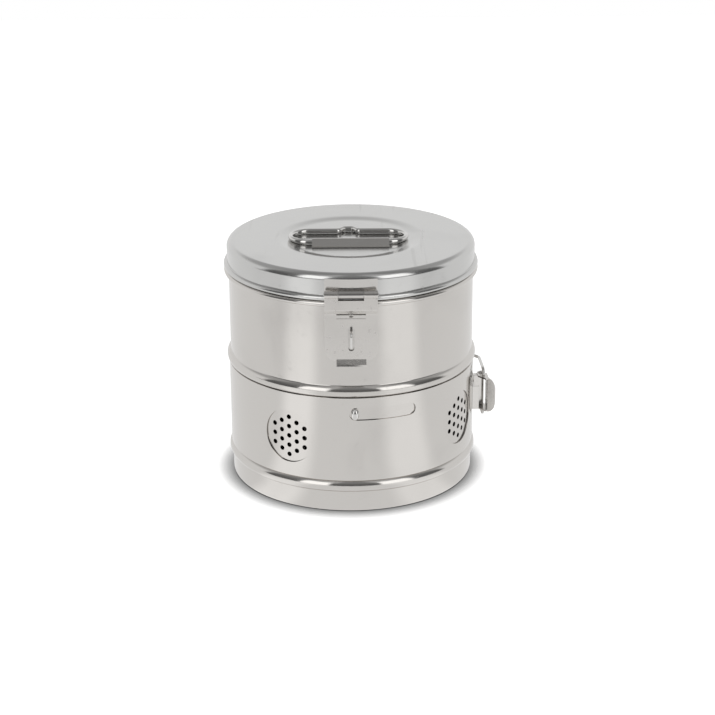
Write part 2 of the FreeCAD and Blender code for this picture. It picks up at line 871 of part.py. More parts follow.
def curved_leaf(body, name, inner, outer, half_width, bottom, top, front):
    # A plate bent to a circle about the drum axis, drawn in plan at the front or at the back.
    way = -1 if front else 1
    plan = new_sketch(body, name + "_plan", "XY_Plane", lift=bottom)
    closed_outline(plan, [
        (-half_width, on_circle(outer, half_width) * way),
        (half_width, on_circle(outer, half_width) * way, 0, 0, -way),
        (half_width, on_circle(inner, half_width) * way),
        (-half_width, on_circle(inner, half_width) * way, 0, 0, way),
    ])
    return pad(body, plan, name, top - bottom, middle=False)


def make_hasp_hinge_leaf():
    body = new_body("hasp_hinge_leaf")
    gauge = size("hasp_sheet")
    inner = lid_radius + seat_gap
    leaf_bottom = hasp_axis_z + size("hasp_leaf_rise")
    knuckle_top = hasp_axis_z + hasp_barrel
    curved_leaf(body, "leaf", inner, inner + gauge, size("hasp_width") / 2, leaf_bottom, skirt_top, True)
    web = new_sketch(body, "web_side", "YZ_Plane")
    closed_outline(web, [
        (-hasp_out, knuckle_top - gauge),
        (-hasp_out, knuckle_top),
        (-inner - gauge / 2, knuckle_top + gauge),
        (-inner - gauge / 2, knuckle_top - gauge),
    ])
    pad(body, web, "leaf_web", size("centre_knuckle"))
    ring = new_sketch(body, "knuckle_side", "YZ_Plane")
    circle_at(ring, -hasp_out, hasp_axis_z, hasp_barrel)
    pad(body, ring, "knuckle", size("centre_knuckle"))
    bore = new_sketch(body, "bore_side", "YZ_Plane")
    circle_at(bore, -hasp_out, hasp_axis_z, hasp_bore)
    pocket(body, bore, "pin_bore", size("centre_knuckle") * 2, middle=True)
    return body


def make_cross_pin(label, out, height, radius, length):
    # A plain pin along X.
    body = new_body(label)
    side = new_sketch(body, "pin_side", "YZ_Plane")
    circle_at(side, out, height, radius)
    pad(body, side, "pin", length)
    return body


def make_hasp_catch_plate():
    body = new_body("hasp_catch_plate")
    inner = wall_radius + seat_gap
    top = rim_bottom - size("catch_drop")
    bottom = top - size("catch_length")
    curved_leaf(body, "strip", inner, catch_outer, size("catch_width") / 2, bottom, top, True)
    # The ridge stands in the hollow of the hasp's rib, and the nib shows in its slit.
    hasp_back = hasp_front - size("hasp_sheet")
    tips = [
        ("snap_ridge", rib_z, size("ridge_height") / 2, hasp_back + size("ridge_reach"), size("ridge_width")),
        ("snap_nib", slit_z, size("nib_height") / 2, hasp_front + size("nib_reach"), size("nib_width")),
    ]
    for name, middle, half, tip, wide in tips:
        side = new_sketch(body, name + "_side", "YZ_Plane")
        closed_outline(side, [
            (-inner - size("catch_sheet") / 2, middle - half),
            (-inner - size("catch_sheet") / 2, middle + half),
            (-tip + half, middle + half),
            (-tip + half, middle - half, -tip + half, middle, 1),
        ])
        pad(body, side, name, wide)
    return body


def make_lock_staple():
    # A bent wire eye welded to the catch strip; it stands out through the slot of the hasp.
    label = "lock_staple"
    half = size("staple_height").number / 2
    low = lock_slot_z.number - half
    high = lock_slot_z.number + half
    foot = catch_outer.number + seat_gap.number
    tip = catch_outer.number + size("staple_reach").number
    stops = [
        FreeCAD.Vector(0, -foot, low),
        FreeCAD.Vector(0, -tip, low),
        FreeCAD.Vector(0, -tip, high),
        FreeCAD.Vector(0, -foot, high),
    ]
    feature = doc.addObject("Part::Feature", label)
    feature.Label = label
    path = rounded_path(stops, size("staple_bend").number)
    feature.Shape = tube_along(path, size("staple_wire").number)
    return feature


# Lid hinge at the back

lid_axis_y = rim_outer + size("lid_axis_step")
lid_axis_z = lid_bottom + size("lid_axis_rise")
lid_barrel = size("lid_barrel")
lid_bore = size("lid_pin") + size("pin_play")


def make_lid_hinge_upper_leaf():
    body = new_body("lid_hinge_upper_leaf")
    inner = lid_radius + seat_gap
    gauge = size("lid_leaf_sheet")
    bottom = lid_bottom + rim_radius * 2 + size("lid_leaf_lift")
    curved_leaf(body, "leaf", inner, inner + gauge, size("lid_hinge_width") / 2, bottom, skirt_top, False)
    web = new_sketch(body, "web_side", "YZ_Plane")
    closed_outline(web, [
        (inner + gauge / 2, bottom),
        (lid_axis_y, lid_axis_z + lid_barrel - gauge),
        (lid_axis_y, lid_axis_z + lid_barrel),
        (inner + gauge / 2, bottom + gauge + size("lid_web_rise")),
    ])
    pad(body, web, "leaf_web", size("lid_knuckle"))
    ring = new_sketch(body, "knuckle_side", "YZ_Plane")
    circle_at(ring, lid_axis_y, lid_axis_z, lid_barrel)
    pad(body, ring, "knuckle", size("lid_knuckle"))
    bore = new_sketch(body, "bore_side", "YZ_Plane")
    circle_at(bore, lid_axis_y, lid_axis_z, lid_bore)
    pocket(body, bore, "pin_bore", size("lid_knuckle") * 2, middle=True)
    return body


def make_lid_hinge_lower_leaf():
    body = new_body("lid_hinge_lower_leaf")
    gauge = size("lid_leaf_sheet")
    over_rim = rim_outer + size("leaf_clearance")
    wall_face = wall_radius + seat_gap
    step_top = rim_bottom - size("step_drop")
    step_bottom = step_top - size("step_height")
    knuckle_low = lid_axis_z - lid_barrel
    side = new_sketch(body, "step_side", "YZ_Plane")
    closed_outline(side, [
        (over_rim, knuckle_low + gauge / 2),
        (over_rim, step_top),
        (wall_face + gauge / 2, step_bottom),
        (wall_face + gauge / 2, step_bottom - gauge),
        (wall_face + gauge, step_bottom - gauge),
        (over_rim + gauge, step_top - gauge / 2),
        (over_rim + gauge, knuckle_low + gauge / 2),
        (lid_axis_y, knuckle_low + gauge / 2),
        (lid_axis_y, knuckle_low + gauge),
    ])
    pad(body, side, "step", size("lid_hinge_width"))
    curved_leaf(body, "leaf", wall_face, wall_face + gauge, size("lid_hinge_width") / 2,
                rim_bottom - size("lid_leaf_length"), step_bottom, False)
    ring = new_sketch(body, "knuckle_side", "YZ_Plane")
    circle_at(ring, lid_axis_y, lid_axis_z, lid_barrel)
    pad(body, ring, "knuckles", size("lid_hinge_width"))
    bore = new_sketch(body, "bore_side", "YZ_Plane")
    circle_at(bore, lid_axis_y, lid_axis_z, lid_bore)
    pocket(body, bore, "pin_bore", size("lid_hinge_width") * 2, middle=True)
    half = size("lid_knuckle") / 2 + size("knuckle_gap")
    notch = new_sketch(body, "notch_back", "XZ_Plane")
    rectangle(notch, -half, knuckle_low - size("lid_notch_drop"), half, lid_axis_z + lid_barrel + overcut)
    pocket(body, notch, "centre_notch", lid_axis_y + lid_barrel + overcut, outward=False)
    return body


# Folding handle: a wire bail held by a rolled strap in the dish of the lid

handle_y = -size("handle_front")
strap_bore = size("handle_wire") + size("strap_play")
strap_radius = strap_bore + size("strap_sheet")
handle_z = dish_top + seat_gap + strap_radius


def make_handle_bracket():
    body = new_body("handle_bracket")
    gauge = size("strap_sheet")
    floor = dish_top + seat_gap
    side = new_sketch(body, "strap_side", "YZ_Plane")
    closed_outline(side, [
        (handle_y - size("strap_flange"), floor),
        (handle_y, floor),
        (handle_y, handle_z + strap_radius, handle_y, handle_z, 1),
        (handle_y - strap_radius, handle_z, handle_y, handle_z, 1),
        (handle_y - strap_radius, floor + gauge),
        (handle_y - size("strap_flange"), floor + gauge),
    ])
    pad(body, side, "strap", size("strap_length"))
    bore = new_sketch(body, "bore_side", "YZ_Plane")
    circle_at(bore, handle_y, handle_z, strap_bore)
    pocket(body, bore, "wire_bore", size("strap_length") * 2, middle=True)
    return body


def make_handle_bail():
    label = "handle_bail"
    wire = size("handle_wire").number
    half = size("handle_length").number / 2 - wire
    depth = size("handle_depth").number
    bend = depth / 2
    front = handle_y.number
    back = front + depth
    kink_half = size("handle_kink_width").number / 2
    kink_back = back + size("handle_kink").number
    z = handle_z.number
    ramp = size("kink_ramp").number
    straight = half - bend
    front_left = FreeCAD.Vector(-straight, front, z)
    front_right = FreeCAD.Vector(straight, front, z)
    back_right = FreeCAD.Vector(straight, back, z)
    back_left = FreeCAD.Vector(-straight, back, z)
    front_line = Part.LineSegment(front_left, front_right).toShape()
    right_end = Part.Arc(front_right, FreeCAD.Vector(half, front + bend, z), back_right).toShape()
    left_end = Part.Arc(back_left, FreeCAD.Vector(-half, front + bend, z), front_left).toShape()
    back_stops = [
        back_right,
        FreeCAD.Vector(kink_half, back, z),
        FreeCAD.Vector(kink_half - ramp, kink_back, z),
        FreeCAD.Vector(-kink_half + ramp, kink_back, z),
        FreeCAD.Vector(-kink_half, back, z),
        back_left,
    ]
    back_line = rounded_path(back_stops, size("kink_bend").number)
    path = Part.Wire([front_line, right_end] + back_line.Edges + [left_end])
    feature = doc.addObject("Part::Feature", label)
    feature.Label = label
    feature.Shape = tube_along(path, wire)
    return feature


pieces = [
    make_drum_shell(),
    make_base_pan(),
    make_slide_stop_stud(),
    make_hasp_catch_plate(),
    make_lock_staple(),
    make_lid_hinge_lower_leaf(),
    make_cross_pin("lid_hinge_pin", lid_axis_y, lid_axis_z, size("lid_pin"),
                   size("lid_hinge_width") + size("lid_pin_end") * 2),
    make_lid_shell(),
    make_lid_hinge_upper_leaf(),
    make_hasp_hinge_leaf(),
    make_cross_pin("hasp_hinge_pin", -hasp_out, hasp_axis_z, size("hasp_pin"),
                   size("hasp_width") + size("hasp_pin_end") * 2),
    make_handle_bracket(),
    make_handle_bail(),
    make_hasp_plate(),
    make_sliding_band(),
    make_latch_base(),
    make_latch_pivot_pin(),
    make_catch_hook(),
    make_latch_lever(),
    make_latch_wire_bail(),
]

doc.recompute()

for item in doc.Objects:
    if "Invalid" in item.State or "Error" in item.State:
        raise RuntimeError("failed object: " + item.Label)
for piece in pieces:
    if piece.Shape.isNull() or not piece.Shape.isValid():
        raise RuntimeError("bad shape: " + piece.Label)
    if len(piece.Shape.Solids) < 1:
        raise RuntimeError("no solid: " + piece.Label)

os.makedirs(NODES_FOLDER, exist_ok=True)
for piece in pieces:
    piece.Shape.exportStep(os.path.join(NODES_FOLDER, piece.Label + ".step"))
    box = piece.Shape.BoundBox
    print("%-22s solids %d volume %9.1f  x %.1f..%.1f  y %.1f..%.1f  z %.1f..%.1f" % (
        piece.Label, len(piece.Shape.Solids), piece.Shape.Volume,
        box.XMin, box.XMax, box.YMin, box.YMax, box.ZMin, box.ZMax))
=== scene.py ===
import math

import bmesh
import bpy
from mathutils import Matrix, Vector


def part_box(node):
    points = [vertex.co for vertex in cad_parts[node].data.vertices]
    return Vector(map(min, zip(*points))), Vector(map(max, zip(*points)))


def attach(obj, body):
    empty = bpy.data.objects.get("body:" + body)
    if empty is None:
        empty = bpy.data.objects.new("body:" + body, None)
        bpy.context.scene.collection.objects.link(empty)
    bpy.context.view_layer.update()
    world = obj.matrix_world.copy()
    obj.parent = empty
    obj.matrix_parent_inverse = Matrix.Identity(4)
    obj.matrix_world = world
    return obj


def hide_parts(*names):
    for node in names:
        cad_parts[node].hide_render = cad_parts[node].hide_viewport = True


# Steel sterilizing drum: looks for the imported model, in metres, front towards -Y.

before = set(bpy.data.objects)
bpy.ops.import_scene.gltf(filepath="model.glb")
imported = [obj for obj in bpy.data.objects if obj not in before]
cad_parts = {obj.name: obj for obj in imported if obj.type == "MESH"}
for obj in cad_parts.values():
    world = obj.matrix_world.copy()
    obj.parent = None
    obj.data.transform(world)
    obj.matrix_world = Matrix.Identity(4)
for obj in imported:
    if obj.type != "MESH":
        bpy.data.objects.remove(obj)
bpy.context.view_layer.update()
print("frame loaded:", len(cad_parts), "nodes")

mm = 0.001


def nodeBox(name):
    low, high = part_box(name)
    return Vector(low), Vector(high)


# Places read from the frame, in metres
panBox = nodeBox("base_pan")
shellBox = nodeBox("drum_shell")
bandBox = nodeBox("sliding_band")
lidBox = nodeBox("lid_shell")
place = {
    "wall": panBox[1].x,
    "panTop": panBox[1].z,
    "rim": shellBox[1].x,
    "neckTop": shellBox[1].z,
    "foot": shellBox[0].z,
    "bandLow": bandBox[0].z,
    "bandHigh": bandBox[1].z,
    "lidLow": lidBox[0].z,
    "lidTop": lidBox[1].z,
}


# Camera at the photograph's angle

cameraSetup = {
    "lens": 94.15,
    "sensor": 36.0,
    "place": (0.0, -1.388, 0.6055),
    "pitch": 20.39,
    "yaw": 0.198,
    "roll": -0.33,
    "clip": 0.01,
}


def buildCamera():
    data = bpy.data.cameras.new("studioCamera")
    data.lens = cameraSetup["lens"]
    data.sensor_width = cameraSetup["sensor"]
    data.clip_start = cameraSetup["clip"]
    camera = bpy.data.objects.new("studioCamera", data)
    camera.location = cameraSetup["place"]
    turn = Matrix.Rotation(-math.radians(cameraSetup["yaw"]), 3, "Z")
    tilt = Matrix.Rotation(math.radians(90 - cameraSetup["pitch"]), 3, "X")
    roll = Matrix.Rotation(math.radians(cameraSetup["roll"]), 3, "Z")
    camera.rotation_euler = (turn @ tilt @ roll).to_euler()
    bpy.context.scene.collection.objects.link(camera)
    bpy.context.scene.camera = camera


buildCamera()


# Small node helpers

def addNode(tree, kind, inputs=None, **settings):
    # Each input gets a link from a socket, or else a plain value
    node = tree.nodes.new(kind)
    for name, value in settings.items():
        setattr(node, name, value)
    for name, value in (inputs or {}).items():
        if isinstance(value, bpy.types.NodeSocket):
            tree.links.new(value, node.inputs[name])
        else:
            node.inputs[name].default_value = value
    return node


def mathNode(tree, operation, a, b=None, clamp=False):
    inputs = {0: a} if b is None else {0: a, 1: b}
    return addNode(tree, "ShaderNodeMath", inputs, operation=operation, use_clamp=clamp).outputs[0]


def times(tree, a, b):
    return mathNode(tree, "MULTIPLY", a, b)


def plus(tree, a, b):
    return mathNode(tree, "ADD", a, b)


def mapRange(tree, value, low, high, toLow=0.0, toHigh=1.0):
    inputs = {"Value": value, "From Min": low, "From Max": high, "To Min": toLow, "To Max": toHigh}
    return addNode(tree, "ShaderNodeMapRange", inputs, interpolation_type="SMOOTHSTEP").outputs["Result"]


def mixValue(tree, factor, a, b):
    inputs = {"Factor": factor, "A": a, "B": b}
    return addNode(tree, "ShaderNodeMix", inputs, data_type="FLOAT").outputs["Result"]


def mixColour(tree, factor, a, b):
    inputs = {"Factor": factor, "A": (*a, 1.0), "B": (*b, 1.0)}
    return addNode(tree, "ShaderNodeMix", inputs, data_type="RGBA").outputs["Result"]


def noise(tree, vector, scale, detail, roughness, distortion=0.0):
    inputs = {"Vector": vector, "Scale": scale, "Detail": detail, "Roughness": roughness}
    return addNode(tree, "ShaderNodeTexNoise", {**inputs, "Distortion": distortion}).outputs["Fac"]


def newGroup(name, inputs, outputs):
    # The inputs besides the vector are numbers with their usual values
    group = bpy.data.node_groups.new(name, "ShaderNodeTree")
    group.interface.new_socket("Vector", in_out="INPUT", socket_type="NodeSocketVector")
    for label, value in inputs.items():
        socket = group.interface.new_socket(label, in_out="INPUT", socket_type="NodeSocketFloat")
        socket.default_value = value
    for label in outputs:
        group.interface.new_socket(label, in_out="OUTPUT", socket_type="NodeSocketFloat")
    return group, group.nodes.new("NodeGroupInput").outputs, group.nodes.new("NodeGroupOutput").inputs


# Effects that the steels share

def sheetGrainGroup():
    # Fine lines left by rolling and polishing, along U, and a soft cloudiness
    usual = {"Lines per metre": 2500.0, "Line length": 0.02}
    group, given, result = newGroup("sheetGrain", usual, ("Lines", "Clouds"))
    along = mathNode(group, "DIVIDE", 1.0, given["Line length"])
    density = {"X": along, "Y": given["Lines per metre"], "Z": along}
    stretch = addNode(group, "ShaderNodeCombineXYZ", density).outputs[0]
    vectors = {0: given["Vector"], 1: stretch}
    scaled = addNode(group, "ShaderNodeVectorMath", vectors, operation="MULTIPLY").outputs[0]
    lines = noise(group, scaled, scale=1.0, detail=3.0, roughness=0.6)
    clouds = noise(group, given["Vector"], scale=28.0, detail=4.0, roughness=0.55)
    group.links.new(lines, result["Lines"])
    group.links.new(clouds, result["Clouds"])
    return group


handling = {
    "tilt": (0.35, 0.2),
    "directions": [(0.5, 1.7), (2.0, 8.3)],
    "stretch": 0.035,
    "scratchMask": (0.70, 0.76),
    "smudgeMask": (0.48, 0.72),
}


def handlingGroup():
    # Thin scratches in two directions, and dull finger smudges
    usual = {"Scratch scale": 240.0, "Smudge scale": 14.0}
    group, given, result = newGroup("handlingMarks", usual, ("Scratches", "Smudges"))
    scratches = []
    for turn, shift in handling["directions"]:
        inputs = {
            "Vector": given["Vector"],
            "Rotation": (*handling["tilt"], turn),
            "Location": (shift, shift, shift),
            "Scale": (1.0, handling["stretch"], 1.0),
        }
        turned = addNode(group, "ShaderNodeMapping", inputs).outputs[0]
        thin = noise(group, turned, given["Scratch scale"], detail=1.0, roughness=0.4, distortion=0.6)
        scratches.append(mapRange(group, thin, *handling["scratchMask"]))
    scale = given["Smudge scale"]
    smudges = noise(group, given["Vector"], scale, detail=3.0, roughness=0.5, distortion=0.8)
    group.links.new(mathNode(group, "MAXIMUM", *scratches), result["Scratches"])
    group.links.new(mapRange(group, smudges, *handling["smudgeMask"]), result["Smudges"])
    return group


sheetGrain = sheetGrainGroup()
handlingMarks = handlingGroup()


# Steels: one function, with each finish's own values

plainSteel = {
    "cloudy": 0.05,
    "smudged": 0.05,
    "anisotropy": 0.0,
    "lines": 3000.0,
    "lineLength": 0.012,
    "lineDepth": 0.05,
    "scratchDepth": 0.10,
    "onUV": False,
}
turnedSteel = {**plainSteel, "anisotropy": 0.72, "lineLength": 0.05, "onUV": True}
steels = {
    "polishedWall": {
        **turnedSteel,
        "tone": (0.652, 0.630, 0.604),
        "toneDull": (0.614, 0.593, 0.569),
        "roughness": 0.13,
        "lines": 2600.0,
    },
    "polishedBand": {
        **turnedSteel,
        "tone": (0.660, 0.638, 0.612),
        "toneDull": (0.620, 0.600, 0.576),
        "roughness": 0.13,
        "smudged": 0.06,
        "lines": 2400.0,
        "lineLength": 0.06,
        "scratchDepth": 0.12,
    },
    "satinLid": {
        **turnedSteel,
        "tone": (0.625, 0.622, 0.612),
        "toneDull": (0.595, 0.592, 0.582),
        "roughness": 0.17,
        "cloudy": 0.04,
        "smudged": 0.04,
        "anisotropy": 0.30,
        "lines": 1800.0,
        "lineLength": 0.03,
        "lineDepth": 0.03,
    },
    "pressedFitting": {
        **plainSteel,
        "tone": (0.650, 0.632, 0.610),
        "toneDull": (0.600, 0.584, 0.562),
        "roughness": 0.16,
        "cloudy": 0.06,
        "lines": 3200.0,
        "lineDepth": 0.06,
        "scratchDepth": 0.15,
    },
    "brushedFitting": {
        **plainSteel,
        "tone": (0.715, 0.692, 0.664),
        "toneDull": (0.675, 0.653, 0.627),
        "roughness": 0.24,
        "cloudy": 0.02,
        "smudged": 0.03,
        "lineDepth": 0.004,
        "scratchDepth": 0.012,
    },
    "brightWire": {
        **plainSteel,
        "tone": (0.690, 0.680, 0.665),
        "toneDull": (0.640, 0.630, 0.615),
        "roughness": 0.09,
        "cloudy": 0.03,
        "smudged": 0.04,
        "lineLength": 0.01,
        "lineDepth": 0.02,
        "scratchDepth": 0.08,
    },
}

# What all steels have in common
surface = {
    "grainTurn": 0.25,
    "lineTone": 0.35,
    "scratchDull": 0.08,
    "reliefStrength": 0.35,
    "reliefHeight": 0.08 * mm,
}


def buildSteel(name, finish):
    material = bpy.data.materials.new(name)
    material.use_nodes = True
    tree = material.node_tree
    shader = tree.nodes["Principled BSDF"]
    shader.inputs["Metallic"].default_value = 1.0
    shader.inputs["Anisotropic"].default_value = finish["anisotropy"]
    shader.inputs["Anisotropic Rotation"].default_value = surface["grainTurn"]
    where = addNode(tree, "ShaderNodeTexCoord").outputs
    grainInputs = {
        "Vector": where["UV" if finish["onUV"] else "Object"],
        "Lines per metre": finish["lines"],
        "Line length": finish["lineLength"],
    }
    grain = addNode(tree, "ShaderNodeGroup", grainInputs, node_tree=sheetGrain).outputs
    marks = addNode(tree, "ShaderNodeGroup", {"Vector": where["Object"]}, node_tree=handlingMarks).outputs
    # Colour: clean steel, with duller clouds
    clouds = times(tree, grain["Clouds"], marks["Smudges"])
    dull = mathNode(tree, "ADD", clouds, times(tree, grain["Lines"], surface["lineTone"]), clamp=True)
    tone = mixColour(tree, dull, finish["tone"], finish["toneDull"])
    tree.links.new(tone, shader.inputs["Base Color"])
    # Roughness: clouds, smudges and scratches lift it
    rough = times(tree, grain["Clouds"], finish["cloudy"] * 2)
    rough = plus(tree, rough, finish["roughness"] - finish["cloudy"])
    rough = plus(tree, rough, times(tree, marks["Smudges"], finish["smudged"]))
    rough = plus(tree, rough, times(tree, marks["Scratches"], surface["scratchDull"]))
    tree.links.new(rough, shader.inputs["Roughness"])
    # Relief: lines, then scratches cut into them
    relief = times(tree, grain["Lines"], finish["lineDepth"])
    relief = plus(tree, relief, times(tree, marks["Scratches"], -finish["scratchDepth"]))
    bumpInputs = {
        "Strength": surface["reliefStrength"],
        "Distance": surface["reliefHeight"],
        "Height": relief,
    }
    bump = addNode(tree, "ShaderNodeBump", bumpInputs)
    tree.links.new(bump.outputs["Normal"], shader.inputs["Normal"])
    return material


materials = {name: buildSteel(name, finish) for name, finish in steels.items()}
print("materials built:", ", ".join(materials))


# Outline helpers

def arcPoints(centre, radius, start, end, steps):
    # An arc of the outline from one angle to another, in degrees, in so many steps
    points = []
    for step in range(steps + 1):
        angle = math.radians(start + (end - start) * step / steps)
        points.append((centre[0] + radius * math.cos(angle), centre[1] + radius * math.sin(angle)))
    return points


def circlePoints(centre, radius, count=32):
    return arcPoints(centre, radius, 0, 360, count)[:-1]


def slotPoints(centre, half, radius, steps, upright=False):
    # A round-ended slot; half is its length from the centre to one end
    run, first = half - radius, 0 if upright else -90
    ends = []
    for way, start in ((1, first), (-1, first + 180)):
        side = (centre[0], centre[1] + way * run) if upright else (centre[0] + way * run, centre[1])
        ends += arcPoints(side, radius, start, start + 180, steps)
    return ends


def rectanglePoints(left, low, right, high):
    return [(left, low), (right, low), (right, high), (left, high)]


def sheetOutline(points, gauge):
    # Closed outline of a bent sheet; the points are its outer face, and the sheet lies to their right
    other = []
    for step, point in enumerate(points):
        before = points[max(step - 1, 0)]
        after = points[min(step + 1, len(points) - 1)]
        sides = []
        for first, second in ((before, point), (point, after)):
            length = math.dist(first, second)
            if length > 0:
                sides.append(((second[1] - first[1]) / length, (first[0] - second[0]) / length))
        across = (sum(side[0] for side in sides), sum(side[1] for side in sides))
        share = gauge * len(sides) / math.hypot(*across) ** 2
        other.append((point[0] + across[0] * share, point[1] + across[1] * share))
    return points + other[::-1]


def roundedRoute(stops, bend, steps):
    # The stops with each inner corner replaced by points of a tangent arc
    points = [stops[0]]
    for before, corner, after in zip(stops, stops[1:], stops[2:]):
        into = (corner - before).normalized()
        out = (after - corner).normalized()
        turn = into.angle(out)
        cut = bend * math.tan(turn / 2)
        across = (out - into).normalized()
        centre = corner + across * (bend / math.cos(turn / 2))
        axis = into.cross(out).normalized()
        arm = corner - into * cut - centre
        for step in range(steps + 1):
            points.append(centre + Matrix.Rotation(turn * step / steps, 3, axis) @ arm)
    points.append(stops[-1])
    return points


def bentPath(stops, bend, steps=6):
    # A flat route with its inner corners turned into arcs
    points = roundedRoute([Vector((0, y, z)) for y, z in stops], bend, steps)
    return [(point.y, point.z) for point in points]


# Mesh helpers

def newMesh(name, work):
    # The faces made so far as a mesh, all facing outwards
    bmesh.ops.recalc_face_normals(work, faces=work.faces)
    mesh = bpy.data.meshes.new(name)
    work.to_mesh(mesh)
    work.free()
    return mesh


def newObject(name, mesh, material):
    piece = bpy.data.objects.new(name, mesh)
    bpy.context.scene.collection.objects.link(piece)
    mesh.materials.clear()
    mesh.materials.append(material)
    return piece


def bakeModifiers(piece):
    # The evaluated piece becomes its own plain mesh, in its one material
    bpy.context.view_layer.update()
    graph = bpy.context.evaluated_depsgraph_get()
    name, material = piece.data.name, piece.data.materials[0]
    mesh = bpy.data.meshes.new_from_object(piece.evaluated_get(graph))
    mesh.name = name
    mesh.materials.clear()
    mesh.materials.append(material)
    piece.modifiers.clear()
    piece.data = mesh


def shapeWith(piece, others, operation):
    for other in others:
        modifier = piece.modifiers.new("part", "BOOLEAN")
        modifier.object = other
        modifier.operation = operation
        modifier.solver = "EXACT"


def removeObjects(others):
    for other in others:
        bpy.data.objects.remove(other)


def easeEdges(piece, edge, angle=35):
    bevel = piece.modifiers.new("easedEdges", "BEVEL")
    bevel.width = edge
    bevel.segments = 2
    bevel.limit_method = "ANGLE"
    bevel.angle_limit = math.radians(angle)
    bevel.use_clamp_overlap = True


def softEdges(mesh, angle=32):
    for polygon in mesh.polygons:
        polygon.use_smooth = True
    mesh.set_sharp_from_angle(angle=math.radians(angle))


def evenNormals(piece):
    # Large faces keep their own direction beside small fillets
    softEdges(piece.data)
    modifier = piece.modifiers.new("evenNormals", "WEIGHTED_NORMAL")
    modifier.mode = "FACE_AREA"
    modifier.keep_sharp = True
    bakeModifiers(piece)


def smoothObject(name, work, finish, angle=32):
    mesh = newMesh(name, work)
    softEdges(mesh, angle)
    return newObject(name, mesh, materials[finish])


def roundNormals(piece):
    # Upright walls get the exact normals of their cylinder, also beside cut holes
    facing = 0.9995
    mesh = piece.data
    normals = [Vector(corner.vector) for corner in mesh.corner_normals]
    for polygon in mesh.polygons:
        out = Vector((polygon.center.x, polygon.center.y, 0)).normalized()
        way = polygon.normal.dot(out)
        if abs(way) < facing:
            continue
        for index in polygon.loop_indices:
            spot = mesh.vertices[mesh.loops[index].vertex_index].co
            normals[index] = Vector((spot.x, spot.y, 0)).normalized() * math.copysign(1, way)
    mesh.normals_split_custom_set(normals)


def turnedObject(name, outline, segments, finish):
    # Spins a closed outline of (r, z) points round the drum axis; a point on the axis becomes a pole
    work = bmesh.new()
    uvLayer = work.loops.layers.uv.new("UVMap")
    around = max(point[0] for point in outline) * 2 * math.pi
    run = [0.0]
    for before, after in zip(outline, outline[1:] + outline[:1]):
        run.append(run[-1] + math.dist(before, after))
    rings = []
    for radius, height in outline:
        ring = []
        for step in range(segments if radius else 1):
            angle = 2 * math.pi * step / segments
            ring.append(work.verts.new((radius * math.sin(angle), -radius * math.cos(angle), height)))
        rings.append(ring)
    for row, lower in enumerate(rings):
        upper = rings[(row + 1) % len(rings)]
        if len(lower) == 1 and len(upper) == 1:
            continue
        for step in range(segments):
            corners = {}
            for ring, turn, line in (
                (lower, step, row),
                (lower, step + 1, row),
                (upper, step + 1, row + 1),
                (upper, step, row + 1),
            ):
                corners.setdefault(ring[turn % len(ring)], (around * turn / segments, run[line]))
            face = work.faces.new(list(corners))
            for loop, spot in zip(face.loops, corners.values()):
                loop[uvLayer].uv = spot
    return smoothObject(name, work, finish)


def joinRings(work, lower, upper):
    for part in range(len(lower)):
        after = (part + 1) % len(lower)
        work.faces.new((lower[part], lower[after], upper[after], upper[part]))


rightward, backward, upward = Vector((1, 0, 0)), Vector((0, 1, 0)), Vector((0, 0, 1))
prismAxes = {
    "x": (backward, upward, rightward),
    "y": (rightward, upward, backward),
    "z": (rightward, backward, upward),
}


def addPrism(work, outline, low, high, axes):
    # The axes are those of the outline's two coordinates, and then the prism's own
    across, up, along = axes
    rings = []
    for reach in (low, high):
        rings.append([work.verts.new(across * u + up * v + along * reach) for u, v in outline])
    joinRings(work, *rings)
    work.faces.new(list(reversed(rings[0])))
    work.faces.new(rings[1])


def prismObject(name, prism, finish):
    outline, low, high, axis = prism
    work = bmesh.new()
    addPrism(work, outline, low, high, prismAxes[axis])
    return newObject(name, newMesh(name, work), materials[finish])


def joinedSolid(name, adds, cuts, finish, edge):
    # Prisms joined, others cut away, and the edges eased
    piece = prismObject(name, adds[0], finish)
    joined = [prismObject("joined", prism, finish) for prism in adds[1:]]
    cutAway = [prismObject("cutAway", prism, finish) for prism in cuts]
    shapeWith(piece, joined, "UNION")
    shapeWith(piece, cutAway, "DIFFERENCE")
    easeEdges(piece, edge)
    bakeModifiers(piece)
    removeObjects(joined + cutAway)
    evenNormals(piece)
    return piece


merging = {"distance": 0.001 * mm, "angle": 0.5}


def mergedNode(node, name, finish):
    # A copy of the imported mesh, merged into whole faces
    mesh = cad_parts[node].data.copy()
    mesh.name = name
    work = bmesh.new()
    work.from_mesh(mesh)
    bmesh.ops.remove_doubles(work, verts=work.verts, dist=merging["distance"])
    bmesh.ops.dissolve_limit(
        work,
        angle_limit=math.radians(merging["angle"]),
        verts=work.verts,
        edges=work.edges,
        delimit={"NORMAL"},
    )
    work.to_mesh(mesh)
    work.free()
    return newObject(name, mesh, materials[finish])


def finishPiece(piece, body, node):
    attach(piece, body)
    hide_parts(node)


# Geometry Nodes: groups of holes in a hexagon, repeated round the drum and cut out

steamHoles = {
    "radius": 1.9 * mm,
    "rise": 7.6 * mm,
    "spacing": 6.5 * mm,
    "reach": 15.6 * mm,
    "height": 57.7 * mm,
    "clusters": 4,
    "turn": -30.0,
    "depth": 24.0 * mm,
    "sides": 24,
    "gridSide": 7,
}


